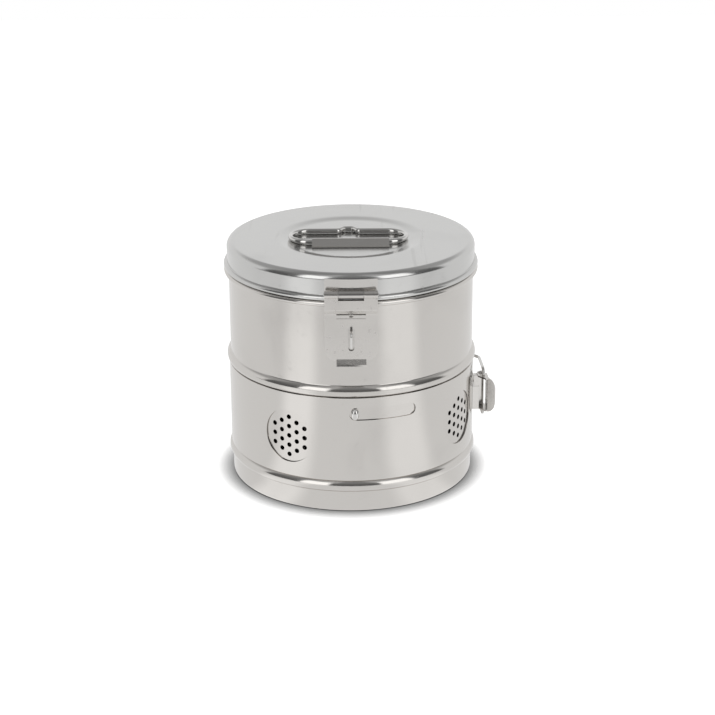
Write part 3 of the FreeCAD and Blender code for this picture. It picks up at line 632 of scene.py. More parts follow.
def holeTree():
    tree = bpy.data.node_groups.new("steamHoleCutter", "GeometryNodeTree")
    tree.is_modifier = True
    kinds = {"Geometry": "Geometry", "Clusters": "Int", "Sides": "Int", "Material": "Material"}
    numbers = ("Hole radius", "Rise", "Spacing", "Cluster reach", "Height", "Turn", "Wall radius", "Depth")
    for label in (*kinds, *numbers):
        kind = "NodeSocket" + kinds.get(label, "Float")
        tree.interface.new_socket(label, in_out="INPUT", socket_type=kind)
    tree.interface.new_socket("Geometry", in_out="OUTPUT", socket_type="NodeSocketGeometry")
    given = tree.nodes.new("NodeGroupInput").outputs
    side = steamHoles["gridSide"]
    gridInputs = {
        "Vertices X": side,
        "Vertices Y": side,
        "Size X": times(tree, given["Spacing"], side - 1),
        "Size Y": times(tree, given["Rise"], side - 1),
    }
    grid = addNode(tree, "GeometryNodeMeshGrid", gridInputs).outputs["Mesh"]
    # Every other column is lifted by half a step
    position = addNode(tree, "GeometryNodeInputPosition").outputs[0]
    across = addNode(tree, "ShaderNodeSeparateXYZ", {0: position}).outputs["X"]
    column = mathNode(tree, "ROUND", mathNode(tree, "DIVIDE", across, given["Spacing"]))
    lift = times(tree, mathNode(tree, "FLOORED_MODULO", column, 2.0), times(tree, given["Rise"], 0.5))
    offset = addNode(tree, "ShaderNodeCombineXYZ", {"Y": lift}).outputs[0]
    stagger = addNode(tree, "GeometryNodeSetPosition", {"Geometry": grid, "Offset": offset})
    # Points outside the hexagon go
    length = addNode(tree, "ShaderNodeVectorMath", {0: position}, operation="LENGTH").outputs["Value"]
    limits = {"A": length, "B": given["Cluster reach"]}
    far = addNode(tree, "FunctionNodeCompare", limits, data_type="FLOAT", operation="GREATER_THAN")
    outside = {"Geometry": stagger.outputs[0], "Selection": far.outputs[0]}
    trim = addNode(tree, "GeometryNodeDeleteGeometry", outside, domain="POINT")
    # One round cutter on each point, then the cluster stood up in front of the wall
    cutterInputs = {"Vertices": given["Sides"], "Radius": given["Hole radius"], "Depth": given["Depth"]}
    cutter = addNode(tree, "GeometryNodeMeshCylinder", cutterInputs).outputs["Mesh"]
    holes = addNode(tree, "GeometryNodeInstanceOnPoints", {"Points": trim.outputs[0], "Instance": cutter})
    front = times(tree, given["Wall radius"], -1.0)
    spot = addNode(tree, "ShaderNodeCombineXYZ", {"Y": front, "Z": given["Height"]})
    standInputs = {
        "Geometry": holes.outputs[0],
        "Translation": spot.outputs[0],
        "Rotation": (math.radians(90), 0, 0),
    }
    stand = addNode(tree, "GeometryNodeTransform", standInputs)
    # Clusters spread evenly round the axis
    centres = addNode(tree, "GeometryNodePoints", {"Count": given["Clusters"]})
    index = addNode(tree, "GeometryNodeInputIndex").outputs[0]
    angle = times(tree, mathNode(tree, "DIVIDE", index, given["Clusters"]), 2 * math.pi)
    turn = addNode(tree, "ShaderNodeCombineXYZ", {"Z": plus(tree, angle, given["Turn"])})
    aroundInputs = {"Points": centres.outputs[0], "Instance": stand.outputs[0], "Rotation": turn.outputs[0]}
    around = addNode(tree, "GeometryNodeInstanceOnPoints", aroundInputs)
    solid = addNode(tree, "GeometryNodeRealizeInstances", {0: around.outputs[0]})
    meshes = {"Mesh 1": given["Geometry"], "Mesh 2": solid.outputs[0]}
    cut = addNode(tree, "GeometryNodeMeshBoolean", meshes, operation="DIFFERENCE", solver="EXACT")
    final = addNode(tree, "GeometryNodeRealizeInstances", {0: cut.outputs[0]})
    paintInputs = {"Geometry": final.outputs[0], "Material": given["Material"]}
    paint = addNode(tree, "GeometryNodeSetMaterial", paintInputs)
    tree.links.new(paint.outputs[0], tree.nodes.new("NodeGroupOutput").inputs["Geometry"])
    return tree


def cutHoles(piece, tree):
    values = {
        "Hole radius": steamHoles["radius"],
        "Rise": steamHoles["rise"],
        "Spacing": steamHoles["spacing"],
        "Cluster reach": steamHoles["reach"],
        "Height": steamHoles["height"],
        "Clusters": steamHoles["clusters"],
        "Turn": math.radians(steamHoles["turn"]),
        "Wall radius": place["wall"],
        "Depth": steamHoles["depth"],
        "Sides": steamHoles["sides"],
        "Material": materials["polishedWall"],
    }
    modifier = piece.modifiers.new("cutter", "NODES")
    modifier.node_group = tree
    for socket in tree.interface.items_tree:
        if socket.in_out == "INPUT" and socket.name in values:
            modifier[socket.identifier] = values[socket.name]
    bakeModifiers(piece)


# Drum shell

shell = {
    "steel": 0.8 * mm,
    "seatGap": 0.05 * mm,
    "beadReach": 2.65 * mm,
    "panGap": 0.1 * mm,
    "midBead": 9.2 * mm,
    "bandGap": 0.3 * mm,
    "crease": 0.9 * mm,
    "rimBead": 4.15 * mm,
    "partLine": 0.3 * mm,
    "neckDrop": 1.0 * mm,
    "segments": 384,
}


def beadCircle(bead):
    # Centre and radius of the arc over a bead's crown
    low, high = bead
    reach = shell["beadReach"]
    radius = ((high - low) ** 2 / 4 + reach ** 2) / (2 * reach)
    return (place["wall"] + reach - radius, (low + high) / 2), radius


def beadPoints(bead):
    # A formed bead with a soft crease at each foot
    centre, radius = beadCircle(bead)
    crease = shell["crease"]
    foot = place["wall"] + crease
    rise = math.sqrt((radius + crease) ** 2 - (foot - centre[0]) ** 2)
    lean = math.degrees(math.atan2(rise, foot - centre[0]))
    points = arcPoints((foot, centre[1] - rise), crease, 180, 180 - lean, 5)
    points += arcPoints(centre, radius, -lean, lean, 22)[1:-1]
    points += arcPoints((foot, centre[1] + rise), crease, 180 + lean, 180, 5)
    return points


def innerBeadPoints(bead):
    centre, radius = beadCircle(bead)
    inner = radius - shell["steel"]
    lean = math.degrees(math.acos((place["wall"] - shell["steel"] - centre[0]) / inner))
    return arcPoints(centre, inner, lean, -lean, 14)


def drumOutline():
    wall, steel, crease = place["wall"], shell["steel"], shell["crease"]
    inner, neck, neckTop = wall - steel, wall - shell["neckDrop"], place["neckTop"]
    lowBead = (place["panTop"] + shell["panGap"], place["bandLow"] - shell["bandGap"])
    midLow = place["bandHigh"] + shell["bandGap"]
    midBead = (midLow, midLow + shell["midBead"])
    rimTop = place["lidLow"] - shell["partLine"]
    rimRadius = shell["rimBead"] / 2
    rimLow = rimTop - shell["rimBead"]
    rimCentre = (place["rim"] - rimRadius, rimLow + rimRadius)
    footOuter = inner - shell["seatGap"]
    footInner = footOuter - steel
    points = [(footInner, place["foot"]), (footOuter, place["foot"]), (footOuter, place["panTop"])]
    points += beadPoints(lowBead) + beadPoints(midBead)
    points += arcPoints((wall + crease, rimLow - crease), crease, 180, 90, 4)
    points += arcPoints(rimCentre, rimRadius, -90, 90, 18)
    points += [(neck, rimTop), (neck, neckTop), (neck - steel, neckTop), (neck - steel, rimTop - steel)]
    points += arcPoints(rimCentre, rimRadius - steel, 90, -90, 10)
    points += [(inner, rimLow + steel)]
    points += innerBeadPoints(midBead) + innerBeadPoints(lowBead)
    points += [(footInner, points[-1][1] - steel)]
    return points


def buildDrumShell(tree):
    piece = turnedObject("drumWall", drumOutline(), shell["segments"], "polishedWall")
    cutHoles(piece, tree)
    evenNormals(piece)
    roundNormals(piece)
    finishPiece(piece, "drum", "drum_shell")


buildDrumShell(holeTree())
print("drum shell turned and pierced")


# Base pan

pan = {"steel": 0.8 * mm, "corner": 2.5 * mm, "edge": 0.3 * mm, "middle": 0.5, "segments": 384}


def buildBasePan():
    wall, top = place["wall"], place["panTop"]
    steel, corner, edge = pan["steel"], pan["corner"], pan["edge"]
    middle = wall * pan["middle"]
    points = [(0, 0), (middle, 0)]
    points += arcPoints((wall - corner, corner), corner, -90, 0, 8)
    points += arcPoints((wall - edge, top - edge), edge, 0, 90, 4)
    points += [(wall - steel, top), (wall - steel, corner)]
    points += arcPoints((wall - corner, corner), corner - steel, 0, -90, 5)[1:]
    points += [(middle, steel), (0, steel)]
    piece = turnedObject("basePan", points, pan["segments"], "polishedWall")
    evenNormals(piece)
    finishPiece(piece, "drum", "base_pan")


buildBasePan()


# Lid: soft-edged dish, rounded corner, straight skirt and curled edge

lid = {
    "steel": 0.8 * mm,
    "radius": 96.0 * mm,
    "corner": 5.0 * mm,
    "dishOuter": 58.5 * mm,
    "dishFloor": 46.5 * mm,
    "dishDepth": 1.2 * mm,
    "dishSteps": 14,
    "floorRing": 0.6,
    "topRing": 1.25,
    "skirtRing": 2.5,
    "curl": 4.15 * mm,
    "curlCrease": 0.5 * mm,
    "segments": 384,
}


def dishPoints(lift):
    # The dish's sloping ring as a smooth S between its floor and the flat top
    points = []
    for step in range(lid["dishSteps"] + 1):
        share = step / lid["dishSteps"]
        radius = lid["dishFloor"] + (lid["dishOuter"] - lid["dishFloor"]) * share
        height = place["lidTop"] - lid["dishDepth"] * (1 - share * share * (3 - 2 * share))
        points.append((radius, height - lift))
    return points


def buildLid():
    steel, corner, radius = lid["steel"], lid["corner"], lid["radius"]
    top, low = place["lidTop"], place["lidLow"]
    floor = top - lid["dishDepth"]
    floorRing, topRing = lid["dishFloor"] * lid["floorRing"], lid["dishOuter"] * lid["topRing"]
    curl, crease = lid["curl"] / 2, lid["curlCrease"]
    cornerCentre = (radius - corner, top - corner)
    points = [(0, floor), (floorRing, floor)] + dishPoints(0) + [(topRing, top)]
    points += arcPoints(cornerCentre, corner, 90, 0, 12)
    points += [(radius, low + curl * lid["skirtRing"])]
    points += arcPoints((radius + crease, low + curl * 2 + crease), crease, 180, 270, 4)
    points += arcPoints((place["rim"] - curl, low + curl), curl, 90, -90, 16)
    points += [(radius - steel, low), (radius - steel, top - corner)]
    points += arcPoints(cornerCentre, corner - steel, 0, 90, 8)[1:]
    points += [(topRing, top - steel)] + dishPoints(steel)[::-1]
    points += [(floorRing, floor - steel), (0, floor - steel)]
    piece = turnedObject("lidShell", points, lid["segments"], "satinLid")
    evenNormals(piece)
    finishPiece(piece, "lid", "lid_shell")


buildLid()
print("lid and base pan turned")


# Sliding band with its windows, slot and opening

band = {
    "steel": 0.8 * mm,
    "windowRadius": 21.0 * mm,
    "slotDrop": 12.7 * mm,
    "slotHeight": 10.2 * mm,
    "slotFrom": -1.16,
    "slotTo": 29.96,
    "opening": 3.0 * mm,
    "openingTurn": 106.0,
    "cutFrom": 0.85,
    "cutTo": 1.1,
    "cutPast": 5.0 * mm,
    "edge": 0.12 * mm,
    "segments": 512,
    "sides": 96,
}


def bandCutter(outer):
    # One cutter for all openings; each outline is (sideways, height), seen from outside
    slotSpan = math.radians(band["slotTo"] - band["slotFrom"])
    slotCentre = (0, place["bandHigh"] - band["slotDrop"])
    slot = slotPoints(slotCentre, outer * math.sin(slotSpan / 2), band["slotHeight"] / 2, 24)
    half, past = band["opening"] / 2, band["cutPast"]
    opening = rectanglePoints(-half, place["bandLow"] - past, half, place["bandHigh"] + past)
    window = circlePoints((0, steamHoles["height"]), band["windowRadius"], band["sides"])
    cuts = [(slot, (band["slotFrom"] + band["slotTo"]) / 2), (opening, band["openingTurn"])]
    for step in range(steamHoles["clusters"]):
        cuts.append((window, steamHoles["turn"] + 360 / steamHoles["clusters"] * step))
    work = bmesh.new()
    for outline, turn in cuts:
        angle = math.radians(turn)
        side = Vector((math.cos(angle), math.sin(angle), 0))
        out = Vector((math.sin(angle), -math.cos(angle), 0))
        addPrism(work, outline, outer * band["cutFrom"], outer * band["cutTo"], (side, upward, out))
    return newObject("bandCutter", newMesh("bandCutter", work), materials["polishedBand"])


def buildBand():
    inner = place["wall"] + shell["bandGap"]
    outer = inner + band["steel"]
    low, high, edge = place["bandLow"], place["bandHigh"], band["edge"]
    points = [(inner, low)]
    points += arcPoints((outer - edge, low + edge), edge, -90, 0, 2)
    points += arcPoints((outer - edge, high - edge), edge, 0, 90, 2)
    points += [(inner, high)]
    piece = turnedObject("slidingBand", points, band["segments"], "polishedBand")
    cutter = bandCutter(outer)
    shapeWith(piece, [cutter], "DIFFERENCE")
    bakeModifiers(piece)
    removeObjects([cutter])
    evenNormals(piece)
    roundNormals(piece)
    finishPiece(piece, "band", "sliding_band")


buildBand()
print("sliding band cut")


# Fittings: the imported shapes, merged and with their edges eased

fittings = {  # node: piece, body, steel, slot, eased edge
    "hasp_catch_plate": ("catchStrip", "drum", "pressedFitting", "bright_fitting", 0.12 * mm),
    "lid_hinge_lower_leaf": ("hingeLowerLeaf", "drum", "pressedFitting", "bright_fitting", 0.15 * mm),
    "lid_hinge_pin": ("hingePin", "drum", "brightWire", "bright_fitting", 0.25 * mm),
    "lid_hinge_upper_leaf": ("hingeUpperLeaf", "lid", "pressedFitting", "bright_fitting", 0.15 * mm),
    "hasp_hinge_pin": ("haspPin", "lid", "brightWire", "bright_fitting", 0.25 * mm),
    "latch_base": ("latchBase", "band", "pressedFitting", "bright_fitting", 0.15 * mm),
    "latch_pivot_pin": ("latchPin", "band", "brightWire", "bright_wire", 0),
    "catch_hook": ("catchHook", "band", "pressedFitting", "bright_fitting", 0.15 * mm),
}
fittingAngle = 40


def dressFitting(node, name, body, finish, slotName, edge):
    piece = mergedNode(node, name, finish)
    if edge:
        easeEdges(piece, edge, fittingAngle)
        bakeModifiers(piece)
    evenNormals(piece)
    finishPiece(piece, body, node)


for node, looks in fittings.items():
    dressFitting(node, *looks)
print("fittings dressed:", len(fittings))


# Hasp: plate with hemmed knuckles, slit and slot, and the curved leaf on the lid

hasp = {
    "gauge": 1.0 * mm,
    "barrel": 2.9 * mm,
    "boreGap": 0.05 * mm,
    "faceStep": 0.3 * mm,
    "standOff": 2.5 * mm,
    "kinkDrop": 1.4 * mm,
    "kinkHeight": 3.9 * mm,
    "kinkBend": 1.6 * mm,
    "length": 52.1 * mm,
    "hemDrop": 6.3 * mm,
    "hemReach": 1.4 * mm,
    "notchDrop": 1.9 * mm,
    "notchReach": 9.0 * mm,
    "knuckle": 18.4 * mm,
    "knuckleGap": 0.25 * mm,
    "slitDrop": 16.3 * mm,
    "slitHeight": 0.9 * mm,
    "slitWidth": 21.6 * mm,
    "bridge": 2.6 * mm,
    "bridgeLine": 0.25 * mm,
    "peepHole": (1.7 * mm, 0.75 * mm),
    "peepShare": 0.45,
    "slotDrop": 25.5 * mm,
    "slotLength": 19.2 * mm,
    "slotWidth": 4.3 * mm,
    "corner": 8.0 * mm,
    "lipWidth": 22.0 * mm,
    "lipReach": 2.4 * mm,
    "lipDrop": 2.6 * mm,
    "lipEdge": 1.7 * mm,
    "leafGap": 0.05 * mm,
    "leafRise": 1.9 * mm,
    "leafOver": 1.4 * mm,
    "cutAhead": 6.0 * mm,
    "cutBehind": 4.0 * mm,
    "cornerAhead": 0.5 * mm,
    "cornerPast": 5.0 * mm,
    "edge": 0.14 * mm,
}


def haspPlace():
    # The hinge's centre as (y, z), the plate's half width and the pin's radius
    pinLow, pinHigh = nodeBox("hasp_hinge_pin")
    plateLow, plateHigh = nodeBox("hasp_plate")
    hinge = ((pinLow.y + pinHigh.y) / 2, (pinLow.z + pinHigh.z) / 2)
    return hinge, (plateHigh.x - plateLow.x) / 2, (pinHigh.z - pinLow.z) / 2


def lipOutline(low, bottom):
    # The finger lip, kicked out from the plate's lower edge
    gauge = hasp["gauge"]
    tip, drop = low - hasp["lipReach"], bottom - hasp["lipDrop"]
    return [
        (low, bottom + gauge),
        (tip, drop),
        (tip, drop - hasp["lipEdge"]),
        (tip + gauge, drop - hasp["lipEdge"]),
        (tip + gauge, drop - gauge / 4),
        (low + gauge, bottom),
        (low + gauge, bottom + gauge),
    ]


def haspOpenings(height):
    # Slit, bridge line, peep hole and staple slot, as (x, z) outlines
    half, edge = hasp["slitHeight"] / 2, hasp["slitWidth"] / 2
    slit = height - hasp["slitDrop"]
    line = slit - half - hasp["bridge"]
    wide, high = hasp["peepHole"]
    peepHeight = slit - half - hasp["bridge"] * hasp["peepShare"]
    slotHalf = hasp["slotLength"] / 2
    return [
        rectanglePoints(-edge, slit - half, edge, slit + half),
        rectanglePoints(-edge, line - hasp["bridgeLine"], edge, line),
        [(x * wide, peepHeight + z * high) for x, z in circlePoints((0, 0), 1.0, 20)],
        slotPoints((0, height - hasp["slotDrop"] - slotHalf), slotHalf, hasp["slotWidth"] / 2, 12, True),
    ]


def buildHaspPlate():
    hinge, half, pinRadius = haspPlace()
    gauge, corner = hasp["gauge"], hasp["corner"]
    high = hinge[0] - hasp["faceStep"]
    low = -place["wall"] - hasp["standOff"]
    kinkTop = place["lidLow"] - shell["partLine"] - shell["rimBead"] - hasp["kinkDrop"]
    bottom = hinge[1] - hasp["length"]
    stops = [(low, bottom), (low, kinkTop - hasp["kinkHeight"]), (high, kinkTop), (high, hinge[1])]
    face = bentPath(stops, hasp["kinkBend"])
    hemEdge = (high - hasp["hemReach"], hinge[1] - hasp["hemDrop"])
    hem = rectanglePoints(*hemEdge, high + gauge / 2, hinge[1] - pinRadius)
    notchHalf = hasp["knuckle"] / 2 + hasp["knuckleGap"]
    adds = [(sheetOutline(face, gauge), -half, half, "x")]
    for left, right in ((-half, -notchHalf), (notchHalf, half)):
        adds.append((circlePoints(hinge, hasp["barrel"]), left, right, "x"))
        adds.append((hem, left, right, "x"))
    adds.append((lipOutline(low, bottom), -hasp["lipWidth"] / 2, hasp["lipWidth"] / 2, "x"))
    notchLow = hinge[1] - hasp["barrel"] - hasp["notchDrop"]
    reach = hasp["notchReach"]
    notch = rectanglePoints(-notchHalf, notchLow, notchHalf, hinge[1] + reach)
    cuts = [(notch, hinge[0] - reach, hinge[0] + reach, "y")]
    cuts.append((circlePoints(hinge, pinRadius + hasp["boreGap"], 24), -half * 2, half * 2, "x"))
    for outline in haspOpenings(hinge[1]):
        cuts.append((outline, low - hasp["cutAhead"], low + hasp["cutBehind"], "y"))
    past = hasp["cornerPast"]
    for way, start, end in ((-1, 180, 270), (1, 0, -90)):
        edge = way * (half - corner)
        outline = arcPoints((edge, bottom + corner), corner, start, end, 10)
        outline += [(edge, bottom - past), (way * (half + past), bottom - past)]
        outline += [(way * (half + past), bottom + corner)]
        cuts.append((outline, low - hasp["cornerAhead"], low + 2 * gauge, "y"))
    piece = joinedSolid("haspPlate", adds, cuts, "brushedFitting", hasp["edge"])
    finishPiece(piece, "hasp", "hasp_plate")


def buildHaspLeaf():
    hinge, half, pinRadius = haspPlace()
    gauge = hasp["gauge"]
    inner = lid["radius"] + hasp["leafGap"]
    outer = inner + gauge
    lean = math.degrees(math.asin(half / outer))
    plan = arcPoints((0, 0), outer, -90 - lean, -90 + lean, 16)
    plan += arcPoints((0, 0), inner, -90 + lean, -90 - lean, 16)
    leafTop = place["lidTop"] - lid["corner"] + hasp["leafOver"]
    knuckle = hasp["knuckle"] / 2
    top = hinge[1] + hasp["barrel"]
    root = -inner - gauge / 2
    web = [(hinge[0], top - gauge), (root, top - gauge), (root, top + gauge / 2), (hinge[0], top)]
    adds = [
        (plan, hinge[1] + hasp["leafRise"], leafTop, "z"),
        (web, -knuckle, knuckle, "x"),
        (circlePoints(hinge, hasp["barrel"]), -knuckle, knuckle, "x"),
    ]
    cuts = [(circlePoints(hinge, pinRadius + hasp["boreGap"], 24), -half, half, "x")]
    piece = joinedSolid("haspLeaf", adds, cuts, "pressedFitting", hasp["edge"])
    finishPiece(piece, "lid", "hasp_hinge_leaf")


# Handle bracket: a strap bent over the handle's front leg, with an apron and a flange

strap = {
    "gauge": 0.7 * mm,
    "play": 0.12 * mm,
    "seatGap": 0.02 * mm,
    "apron": 6.4 * mm,
    "flange": 9.8 * mm,
    "edge": 0.12 * mm,
}


def buildStrap():
    low, high = nodeBox("handle_bracket")
    wireLow, wireHigh = nodeBox("handle_bail")
    wire = (wireHigh.z - wireLow.z) / 2
    y, z = wireLow.y + wire, wireLow.z + wire
    floor = place["lidTop"] - lid["dishDepth"] + strap["seatGap"]
    radius = wire + strap["play"] + strap["gauge"]
    apronZ = floor + strap["gauge"]
    reach = math.hypot(strap["apron"], z - apronZ)
    lean = math.degrees(math.asin(radius / reach) + math.atan2(z - apronZ, strap["apron"]))
    face = [(y - strap["flange"], apronZ), (y - strap["apron"], apronZ)]
    face += arcPoints((y, z), radius, 90 + lean, 0, 18)
    face += [(y + radius, floor)]
    adds = [(sheetOutline(face, strap["gauge"]), low.x, high.x, "x")]
    piece = joinedSolid("handleStrap", adds, [], "pressedFitting", strap["edge"])
    finishPiece(piece, "lid", "handle_bracket")


# Stop stud: an upright domed button in the band's slot

stud = {
    "halfWidth": 3.1 * mm,
    "halfHeight": 4.8 * mm,
    "side": 1.4 * mm,
    "dome": 2.6 * mm,
    "rings": 12,
    "sides": 40,
    "sharp": 40,
}


def buildStud():
    low, high = nodeBox("slide_stop_stud")
    middle, wall = (low.x + high.x) / 2, place["wall"]
    out = Vector((middle, -math.sqrt(wall ** 2 - middle ** 2), 0)).normalized()
    side = Vector((-out.y, out.x, 0))
    centre = upward * (place["bandHigh"] - band["slotDrop"])
    profile = [(1.0, 0.0)]
    for step in range(stud["rings"]):
        angle = math.pi / 2 * step / stud["rings"]
        profile.append((math.cos(angle), stud["side"] + stud["dome"] * math.sin(angle)))
    work = bmesh.new()
    rings = []
    for share, reach in profile:
        ring = []
        for x, z in circlePoints((0, 0), share, stud["sides"]):
            spot = side * (stud["halfWidth"] * x) + upward * (stud["halfHeight"] * z)
            ring.append(work.verts.new(centre + spot + out * (wall + reach)))
        rings.append(ring)
    for lower, upper in zip(rings, rings[1:]):
        joinRings(work, lower, upper)
    work.faces.new(rings[0])
    work.faces.new(rings[-1])
    piece = smoothObject("stopStud", work, "brightWire", stud["sharp"])
    finishPiece(piece, "drum", "slide_stop_stud")


# Latch lever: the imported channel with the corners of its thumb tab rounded

lever = {
    "roundOut": 6.0 * mm,
    "roundUp": 9.5 * mm,
    "cutAhead": 5.0 * mm,
    "cutBehind": 9.0 * mm,
    "cutPast": 5.0 * mm,
    "edge": 0.18 * mm,
}


def buildLever():
    piece = mergedNode("latch_lever", "latchLever", "pressedFitting")
    low, high = nodeBox("latch_lever")
    middle, half = (low.z + high.z) / 2, (high.z - low.z) / 2
    out, up, past = lever["roundOut"], lever["roundUp"], lever["cutPast"]
    cutters = []
    for way in (-1, 1):
        centre = (high.x - out, middle + way * (half - up))
        rounded = arcPoints((0, 0), 1.0, 0, 90, 12)
        outline = [(centre[0] + out * x, centre[1] + way * up * z) for x, z in rounded]
        edge = middle + way * (half + past)
        outline += [(centre[0], edge), (high.x + past, edge), (high.x + past, centre[1])]
        prism = (outline, low.y - lever["cutAhead"], low.y + lever["cutBehind"], "y")
        cutters.append(prismObject("tabCutter", prism, "pressedFitting"))
    shapeWith(piece, cutters, "DIFFERENCE")
    easeEdges(piece, lever["edge"], fittingAngle)
    bakeModifiers(piece)
    removeObjects(cutters)
    evenNormals(piece)
    finishPiece(piece, "lever", "latch_lever")


# Wires: handle and staple as bent round wire

wireSharp = 50


def wireObject(name, points, radius, sides, closed):
    # A tube of round wire along the points, closed on itself or with flat ends
    work = bmesh.new()
    count = len(points)
    rings = []
    normal = None
    for step, point in enumerate(points):
        before = points[step - 1] if step or closed else point
        after = points[(step + 1) % count] if step < count - 1 or closed else point
        along = (after - before).normalized()
        if normal is None:
            normal = along.orthogonal().normalized()
        normal = (normal - along * normal.dot(along)).normalized()
        side = along.cross(normal)
        circle = circlePoints((0, 0), radius, sides)
        rings.append([work.verts.new(point + normal * x + side * y) for x, y in circle])
    for lower, upper in zip(rings, rings[1:]):
        joinRings(work, lower, upper)
    if closed:
        joinRings(work, rings[-1], rings[0])
    else:
        work.faces.new(list(reversed(rings[0])))
        work.faces.new(rings[-1])
    return smoothObject(name, work, "brightWire", wireSharp)


handle = {
    "depth": 29.0 * mm,
    "kinkWidth": 15.5 * mm,
    "kink": 5.8 * mm,
    "shift": -1.75 * mm,
    "kinkRamp": 3.85 * mm,
    "kinkBend": 3.0 * mm,
    "sides": 28,
    "endSteps": 28,
}


def buildHandle():
    low, high = nodeBox("handle_bail")
    radius = (high.z - low.z) / 2
    z = (low.z + high.z) / 2
    front = low.y + radius
    back = front + handle["depth"]
    bend = handle["depth"] / 2
    straight = high.x - radius - bend
    kinkHalf = handle["kinkWidth"] / 2
    kinkInner, kinkBack = kinkHalf - handle["kinkRamp"], back + handle["kink"]
    rightEnd = arcPoints((straight, front + bend), bend, -90, 90, handle["endSteps"])
    leftEnd = arcPoints((-straight, front + bend), bend, 90, 270, handle["endSteps"])
    kinks = [(kinkHalf, back), (kinkInner, kinkBack), (-kinkInner, kinkBack), (-kinkHalf, back)]
    stops = [Vector((x, y, z)) for x, y in (rightEnd[-1], *kinks, leftEnd[0])]
    points = [Vector((x, y, z)) for x, y in rightEnd[:-1]]
    points += roundedRoute(stops, handle["kinkBend"], 8)
    points += [Vector((x, y, z)) for x, y in leftEnd[1:]]
    points = [point + rightward * handle["shift"] for point in points]
    piece = wireObject("handleWire", points, radius, handle["sides"], closed=True)
    finishPiece(piece, "handle", "handle_bail")


staple = {"bend": 3.0 * mm, "shorter": 2.0 * mm, "sides": 20, "bendSteps": 8}


def buildStaple():
    low, high = nodeBox("lock_staple")
    radius = (high.x - low.x) / 2
    foot, tip = high.y, low.y + radius + staple["shorter"]
    bottom, top = low.z + radius, high.z - radius
    stops = [Vector((0, y, z)) for y, z in ((foot, bottom), (tip, bottom), (tip, top), (foot, top))]
    points = roundedRoute(stops, staple["bend"], staple["bendSteps"])
    piece = wireObject("lockStaple", points, radius, staple["sides"], closed=False)
    finishPiece(piece, "drum", "lock_staple")


buildHaspPlate()
buildHaspLeaf()
buildStrap()
buildStud()
buildLever()
print("hasp, strap, stud and lever shaped")
buildHandle()
buildStaple()
dressFitting("latch_wire_bail", "latchBail", "bail", "brightWire", "bright_wire", 0)
print("wires bent")


# Studio: white floor, and a world with two soft lights at the front; angles in degrees

studio = {
    "floorSize": 4.0,
    "floorColour": (0.93, 0.93, 0.925),
    # colour of the painted contact shadow on the floor
    "contactShadowColour": (0.02, 0.02, 0.02),
    "floorLift": 0.74,
    "floorShade": 0.016,
    "floorShadePower": 2.2,
    "floorMirrored": 0.86,
    "floorFade": (0.75, 1.15),
    "floorFadeDepth": 0.85,
    "floorFront": (-0.1, 0.1),
    # painted pools of light on the mirrored floor: from, to (degrees) and gain
    "floorLightPools": [(-56.0, -30.0, 1.30), (26.0, 57.0, 1.22)],
    "floorLightPoolEdge": 7.0,
    "backdrop": 0.87,
    "backdropHigh": 0.45,
    "backdropFall": (20.0, 42.0),
    "overhead": 0.30,
    "overheadRise": (45.0, 70.0),
    "darkFront": (-84.0, 90.0, -30.0, 100.0),
    "darkFrontEdge": 4.0,
    "darkLow": 0.13,
    "darkHigh": 0.27,
    "darkRise": (12.0, 55.0),
    "lights": [(-48.0, -21.0), (26.0, 57.0)],
    "softLight": 1.55,
    "softRise": (-2.0, 46.0),
    "softEdge": 2.0,
    "highLight": 0.50,
    "highRise": (40.0, 84.0),
    "highWider": 6.0,
    "highEdge": 5.0,
}


def softSpan(tree, value, low, high, edge):
    # 1 between the two limits, 0 outside, with soft edges
    rising = mapRange(tree, value, low - edge, low + edge)
    return times(tree, rising, mapRange(tree, value, high - edge, high + edge, 1.0, 0.0))


def softBox(tree, azimuth, elevation, left, right, low, high, edge):
    # A soft-edged patch of the sky
    span = softSpan(tree, azimuth, left, right, edge)
    return times(tree, span, softSpan(tree, elevation, low, high, edge))


def degreesFromFront(tree, split):
    ahead = times(tree, split["Y"], -1.0)
    return times(tree, mathNode(tree, "ARCTAN2", split["X"], ahead), 180 / math.pi)


def shaderMix(tree, factor, first, second):
    return addNode(tree, "ShaderNodeMixShader", {"Fac": factor, 1: first, 2: second}).outputs[0]


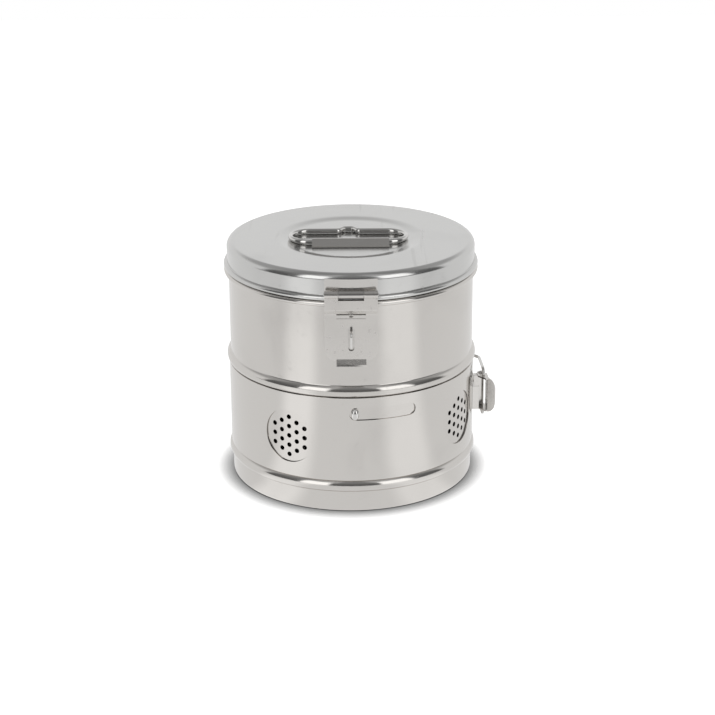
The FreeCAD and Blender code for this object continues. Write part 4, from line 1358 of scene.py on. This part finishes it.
def floorShaders(tree):
    # What the camera sees: near white, with a painted contact shadow where the drum stands
    colour, contact = studio["floorColour"], studio["contactShadowColour"]
    # Painted shadow: ambient occlusion darkens the floor's colour and dims its glow close to the drum
    near = addNode(tree, "ShaderNodeAmbientOcclusion", {"Distance": studio["floorShade"]}, samples=8)
    lift = mathNode(tree, "POWER", near.outputs["AO"], studio["floorShadePower"])
    shaded = addNode(tree, "ShaderNodeBsdfDiffuse", {"Color": mixColour(tree, lift, contact, colour)})
    glow = addNode(tree, "ShaderNodeEmission", {"Strength": times(tree, lift, studio["floorLift"])})
    seen = addNode(tree, "ShaderNodeAddShader", {0: shaded.outputs[0], 1: glow.outputs[0]})
    # What the steel mirrors: pale, darker far out in front, with painted pools of light under the two
    # lights
    spot = addNode(tree, "ShaderNodeTexCoord").outputs["Object"]
    split = addNode(tree, "ShaderNodeSeparateXYZ", {0: spot}).outputs
    reach = addNode(tree, "ShaderNodeVectorMath", {0: spot}, operation="LENGTH").outputs["Value"]
    front = mapRange(tree, split["Y"], *studio["floorFront"], 1.0, 0.0)
    fade = times(tree, mapRange(tree, reach, *studio["floorFade"]), front)
    mirrored = mathNode(tree, "SUBTRACT", 1.0, times(tree, fade, studio["floorFadeDepth"]))
    turn = degreesFromFront(tree, split)
    # Painted pools of light: the floor's mirrored glow is raised where the two lights would fall
    for left, right, gain in studio["floorLightPools"]:
        patch = softSpan(tree, turn, left, right, studio["floorLightPoolEdge"])
        mirrored = times(tree, mirrored, plus(tree, times(tree, patch, gain - 1.0), 1.0))
    strength = times(tree, mirrored, studio["floorMirrored"])
    mirror = addNode(tree, "ShaderNodeEmission", {"Strength": strength})
    return seen.outputs[0], mirror.outputs[0]


def buildFloor():
    mesh = bpy.data.meshes.new("studioFloor")
    half = studio["floorSize"] / 2
    corners = [(x, y, 0) for x, y in rectanglePoints(-half, -half, half, half)]
    mesh.from_pydata(corners, [], [(0, 1, 2, 3)])
    material = bpy.data.materials.new("paleFloor")
    material.use_nodes = True
    tree = material.node_tree
    tree.nodes.remove(tree.nodes["Principled BSDF"])
    plain = addNode(tree, "ShaderNodeBsdfDiffuse", {"Color": (*studio["floorColour"], 1.0)}).outputs[0]
    seen, mirror = floorShaders(tree)
    path = addNode(tree, "ShaderNodeLightPath").outputs
    unseen = shaderMix(tree, path["Is Glossy Ray"], plain, mirror)
    looks = shaderMix(tree, path["Is Camera Ray"], unseen, seen)
    tree.links.new(looks, tree.nodes["Material Output"].inputs["Surface"])
    newObject("studioFloor", mesh, material)


def buildWorld():
    world = bpy.data.worlds.new("studioWorld")
    bpy.context.scene.world = world
    world.use_nodes = True
    tree = world.node_tree
    direction = addNode(tree, "ShaderNodeTexCoord").outputs["Generated"]
    split = addNode(tree, "ShaderNodeSeparateXYZ", {0: direction}).outputs
    azimuth = degreesFromFront(tree, split)
    elevation = times(tree, mathNode(tree, "ARCSINE", split["Z"]), 180 / math.pi)
    # Pale backdrop that falls off with height, a dim ceiling and a dark front half
    fall = studio["backdropFall"]
    level = mapRange(tree, elevation, *fall, studio["backdrop"], studio["backdropHigh"])
    level = mixValue(tree, mapRange(tree, elevation, *studio["overheadRise"]), level, studio["overhead"])
    front = softBox(tree, azimuth, elevation, *studio["darkFront"], studio["darkFrontEdge"])
    dark = mapRange(tree, elevation, *studio["darkRise"], studio["darkLow"], studio["darkHigh"])
    level = mixValue(tree, front, level, dark)
    wider = studio["highWider"]
    for left, right in studio["lights"]:
        span = (left - wider, right + wider)
        above = softBox(tree, azimuth, elevation, *span, *studio["highRise"], studio["highEdge"])
        level = mixValue(tree, above, level, studio["highLight"])
        patch = softBox(tree, azimuth, elevation, left, right, *studio["softRise"], studio["softEdge"])
        level = mixValue(tree, patch, level, studio["softLight"])
    path = addNode(tree, "ShaderNodeLightPath")
    level = mixValue(tree, path.outputs["Is Camera Ray"], level, 1.0)
    background = tree.nodes["Background"]
    background.inputs["Color"].default_value = (1, 1, 1, 1)
    tree.links.new(level, background.inputs["Strength"])


buildFloor()
buildWorld()
bpy.context.scene.view_settings.view_transform = "Standard"
print("studio ready")

bpy.context.view_layer.update()
